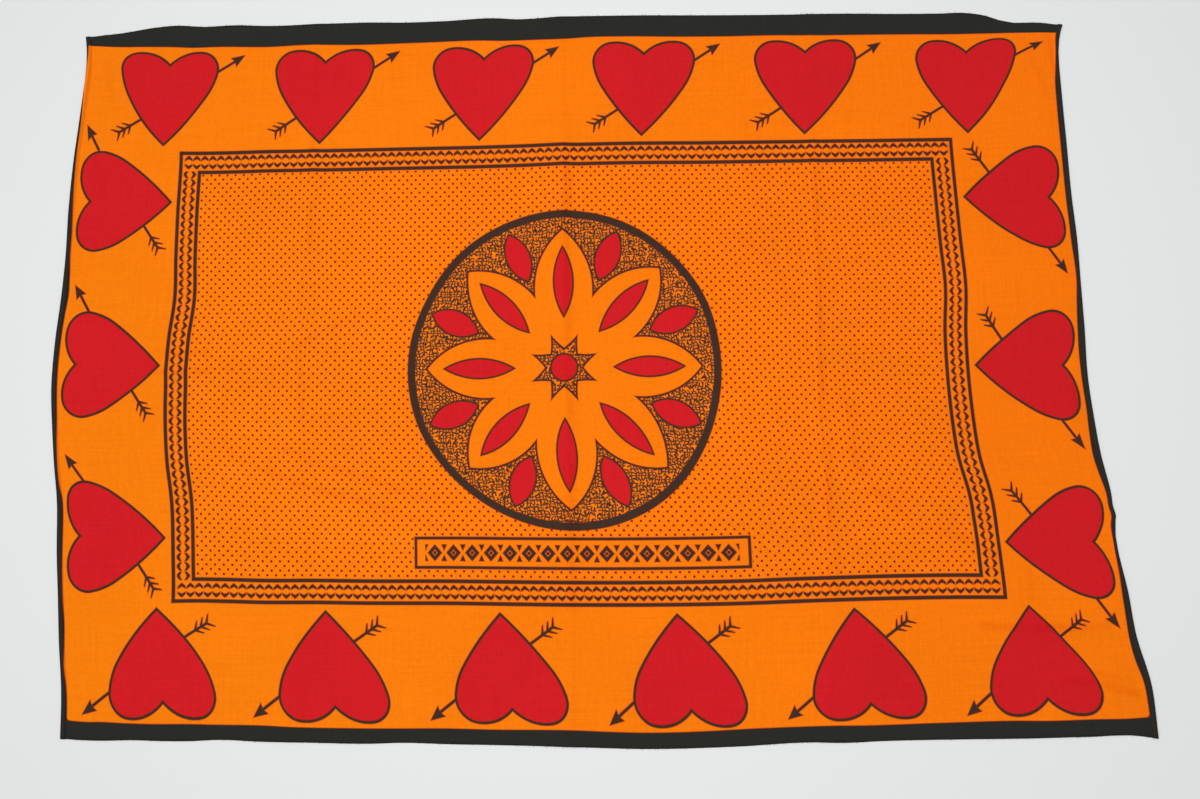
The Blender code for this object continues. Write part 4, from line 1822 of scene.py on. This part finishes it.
@dataclass
class SelvedgeFuzz:
    """Short weft fibres that stand out of one woven edge."""

    edge: Selvedge
    count: int
    longest: float
    seed: int
    shortest: float = 0.0010
    thinning: int = 3
    lean: float = 0.55
    rooted: float = 0.0006
    lift: float = 0.0004
    end_gap: float = 0.004
    radius: float = 0.00014
    sides: int = 4

    def build(self) -> bpy.types.Object:
        """Fibres at random places along the edge, leaning either way, close above the floor.

        Returns:
            The fibres.
        """
        draw = np.random.default_rng(self.seed)
        along = np.sort(draw.uniform(self.end_gap, LIE.length - self.end_gap, self.count))
        outward, depth = (1.0, LIE.depth) if self.edge is Selvedge.UPPER else (-1.0, 0.0)
        across = np.array([depth])
        x, y = LIE.place(along, across)
        under = LIE.rise(along[None, :], across, x, y)[0]
        lean = draw.normal(0.0, self.lean, self.count)
        headings = np.column_stack([np.sin(lean), outward * np.cos(lean), np.zeros(self.count)])
        starts = np.column_stack([x[0], y[0] - outward * self.rooted, under + LIE.thickness / 2])
        lengths = self.shortest + self.longest * draw.uniform(0.0, 1.0, self.count) ** self.thinning
        bows = draw.uniform(0.0, self.lift, self.count)
        points, faces = tubes(starts, headings, lengths, self.radius, self.sides, bows)
        return new_piece(f"selvedge_fuzz_{self.edge.value}", points, faces, [SELVEDGE_FIBRE.material()])

    def dress(self) -> bpy.types.Object:
        """Build the fibres on their edge.

        Returns:
            The fibres.
        """
        piece = self.build()
        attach(piece, BODY)
        LOG.info("fibres along the %s selvedge", self.edge.value)
        return piece


# ------------------------------------------------------------------ the studio


@dataclass(frozen=True)
class Studio:
    """A plain pale floor, soft light from the left and a camera high above the lower edge."""

    floor_half: float = 6.0
    lens: float = 30.0
    sensor: float = 36.0
    aim: tuple[float, float, float] = (0.0306, -0.0586, 0.0)
    heading: tuple[float, float, float] = (-0.0315, 0.1663, -0.98557)
    distance: float = 1.444
    clip: tuple[float, float] = (0.01, 50.0)
    sky: float = 0.48
    lamp_place: tuple[float, float, float] = (-0.11, 0.07, 2.0)
    lamp_side: float = 1.0
    lamp_power: float = 16.3
    sun: float = 0.78
    sun_height: float = 45.0
    sun_side: float = 170.0
    sun_spread: float = 25.0

    def stand(self, data: bpy.types.ID, where: Matrix) -> bpy.types.Object:
        """Put a lamp or a camera in the scene.

        Args:
            data: The lamp or the camera.
            where: Its place and turn.

        Returns:
            Its object.
        """
        thing = bpy.data.objects.new(data.name, data)
        thing.matrix_world = where
        bpy.context.scene.collection.objects.link(thing)
        return thing

    def floor(self) -> None:
        """The floor, which isn't part of the cloth."""
        corners = np.array([(-1, -1, 0), (1, -1, 0), (1, 1, 0), (-1, 1, 0)]) * self.floor_half
        floor = new_piece("floor", corners, [np.array([[0, 1, 2, 3]])], [PaleFloor().material()])

    def light(self) -> None:
        """A dim even sky, a soft lamp overhead and one broad sun from the left."""
        world = bpy.data.worlds.new("studio")
        bpy.context.scene.world = world
        world.use_nodes = True
        background = world.node_tree.nodes["Background"]
        background.inputs["Color"].default_value = (1.0, 1.0, 1.0, 1.0)
        background.inputs["Strength"].default_value = self.sky
        above = bpy.data.lights.new("soft_ceiling", "AREA")
        above.energy = self.lamp_power
        above.size = self.lamp_side
        self.stand(above, Matrix.Translation(self.lamp_place))
        lamp = bpy.data.lights.new("soft_window", "SUN")
        lamp.energy = self.sun
        lamp.angle = math.radians(self.sun_spread)
        side, height = math.radians(self.sun_side), math.radians(self.sun_height)
        level = math.cos(height)
        towards = Vector((math.cos(side) * level, math.sin(side) * level, math.sin(height)))
        self.stand(lamp, towards.to_track_quat("Z", "Y").to_matrix().to_4x4())
        bpy.context.scene.view_settings.view_transform = "Standard"

    def camera(self) -> None:
        """A level camera: its right is heading x world forward, its up is right x heading."""
        data = bpy.data.cameras.new("camera")
        data.lens = self.lens
        data.sensor_width = self.sensor
        data.clip_start, data.clip_end = self.clip
        ahead = Vector(self.heading).normalized()
        right = ahead.cross(Vector((0.0, 1.0, 0.0))).normalized()
        up = right.cross(ahead)
        turned = Matrix((right, up, -ahead)).transposed().to_4x4()
        place = Matrix.Translation(Vector(self.aim) - ahead * self.distance)
        bpy.context.scene.camera = self.stand(data, place @ turned)

    def build(self) -> None:
        """Make the floor, the light and the camera."""
        self.floor()
        self.light()
        self.camera()


def main() -> None:
    """Build the studio, the hems, their stitching, the selvedges and the sheet, in that order."""
    logging.basicConfig(level=logging.INFO)
    Studio().build()
    sewn = []
    for end in End:
        sewn.append(RolledHem(end).dress())
        sewn.append(StitchRow(end).dress())
    sewn.append(SelvedgeFuzz(Selvedge.UPPER, count=620, longest=0.0024, seed=11).dress())
    sewn.append(SelvedgeFuzz(Selvedge.LOWER, count=380, longest=0.0016, seed=23).dress())
    ClothSheet().dress(sewn)


if __name__ == "__main__":
    main()
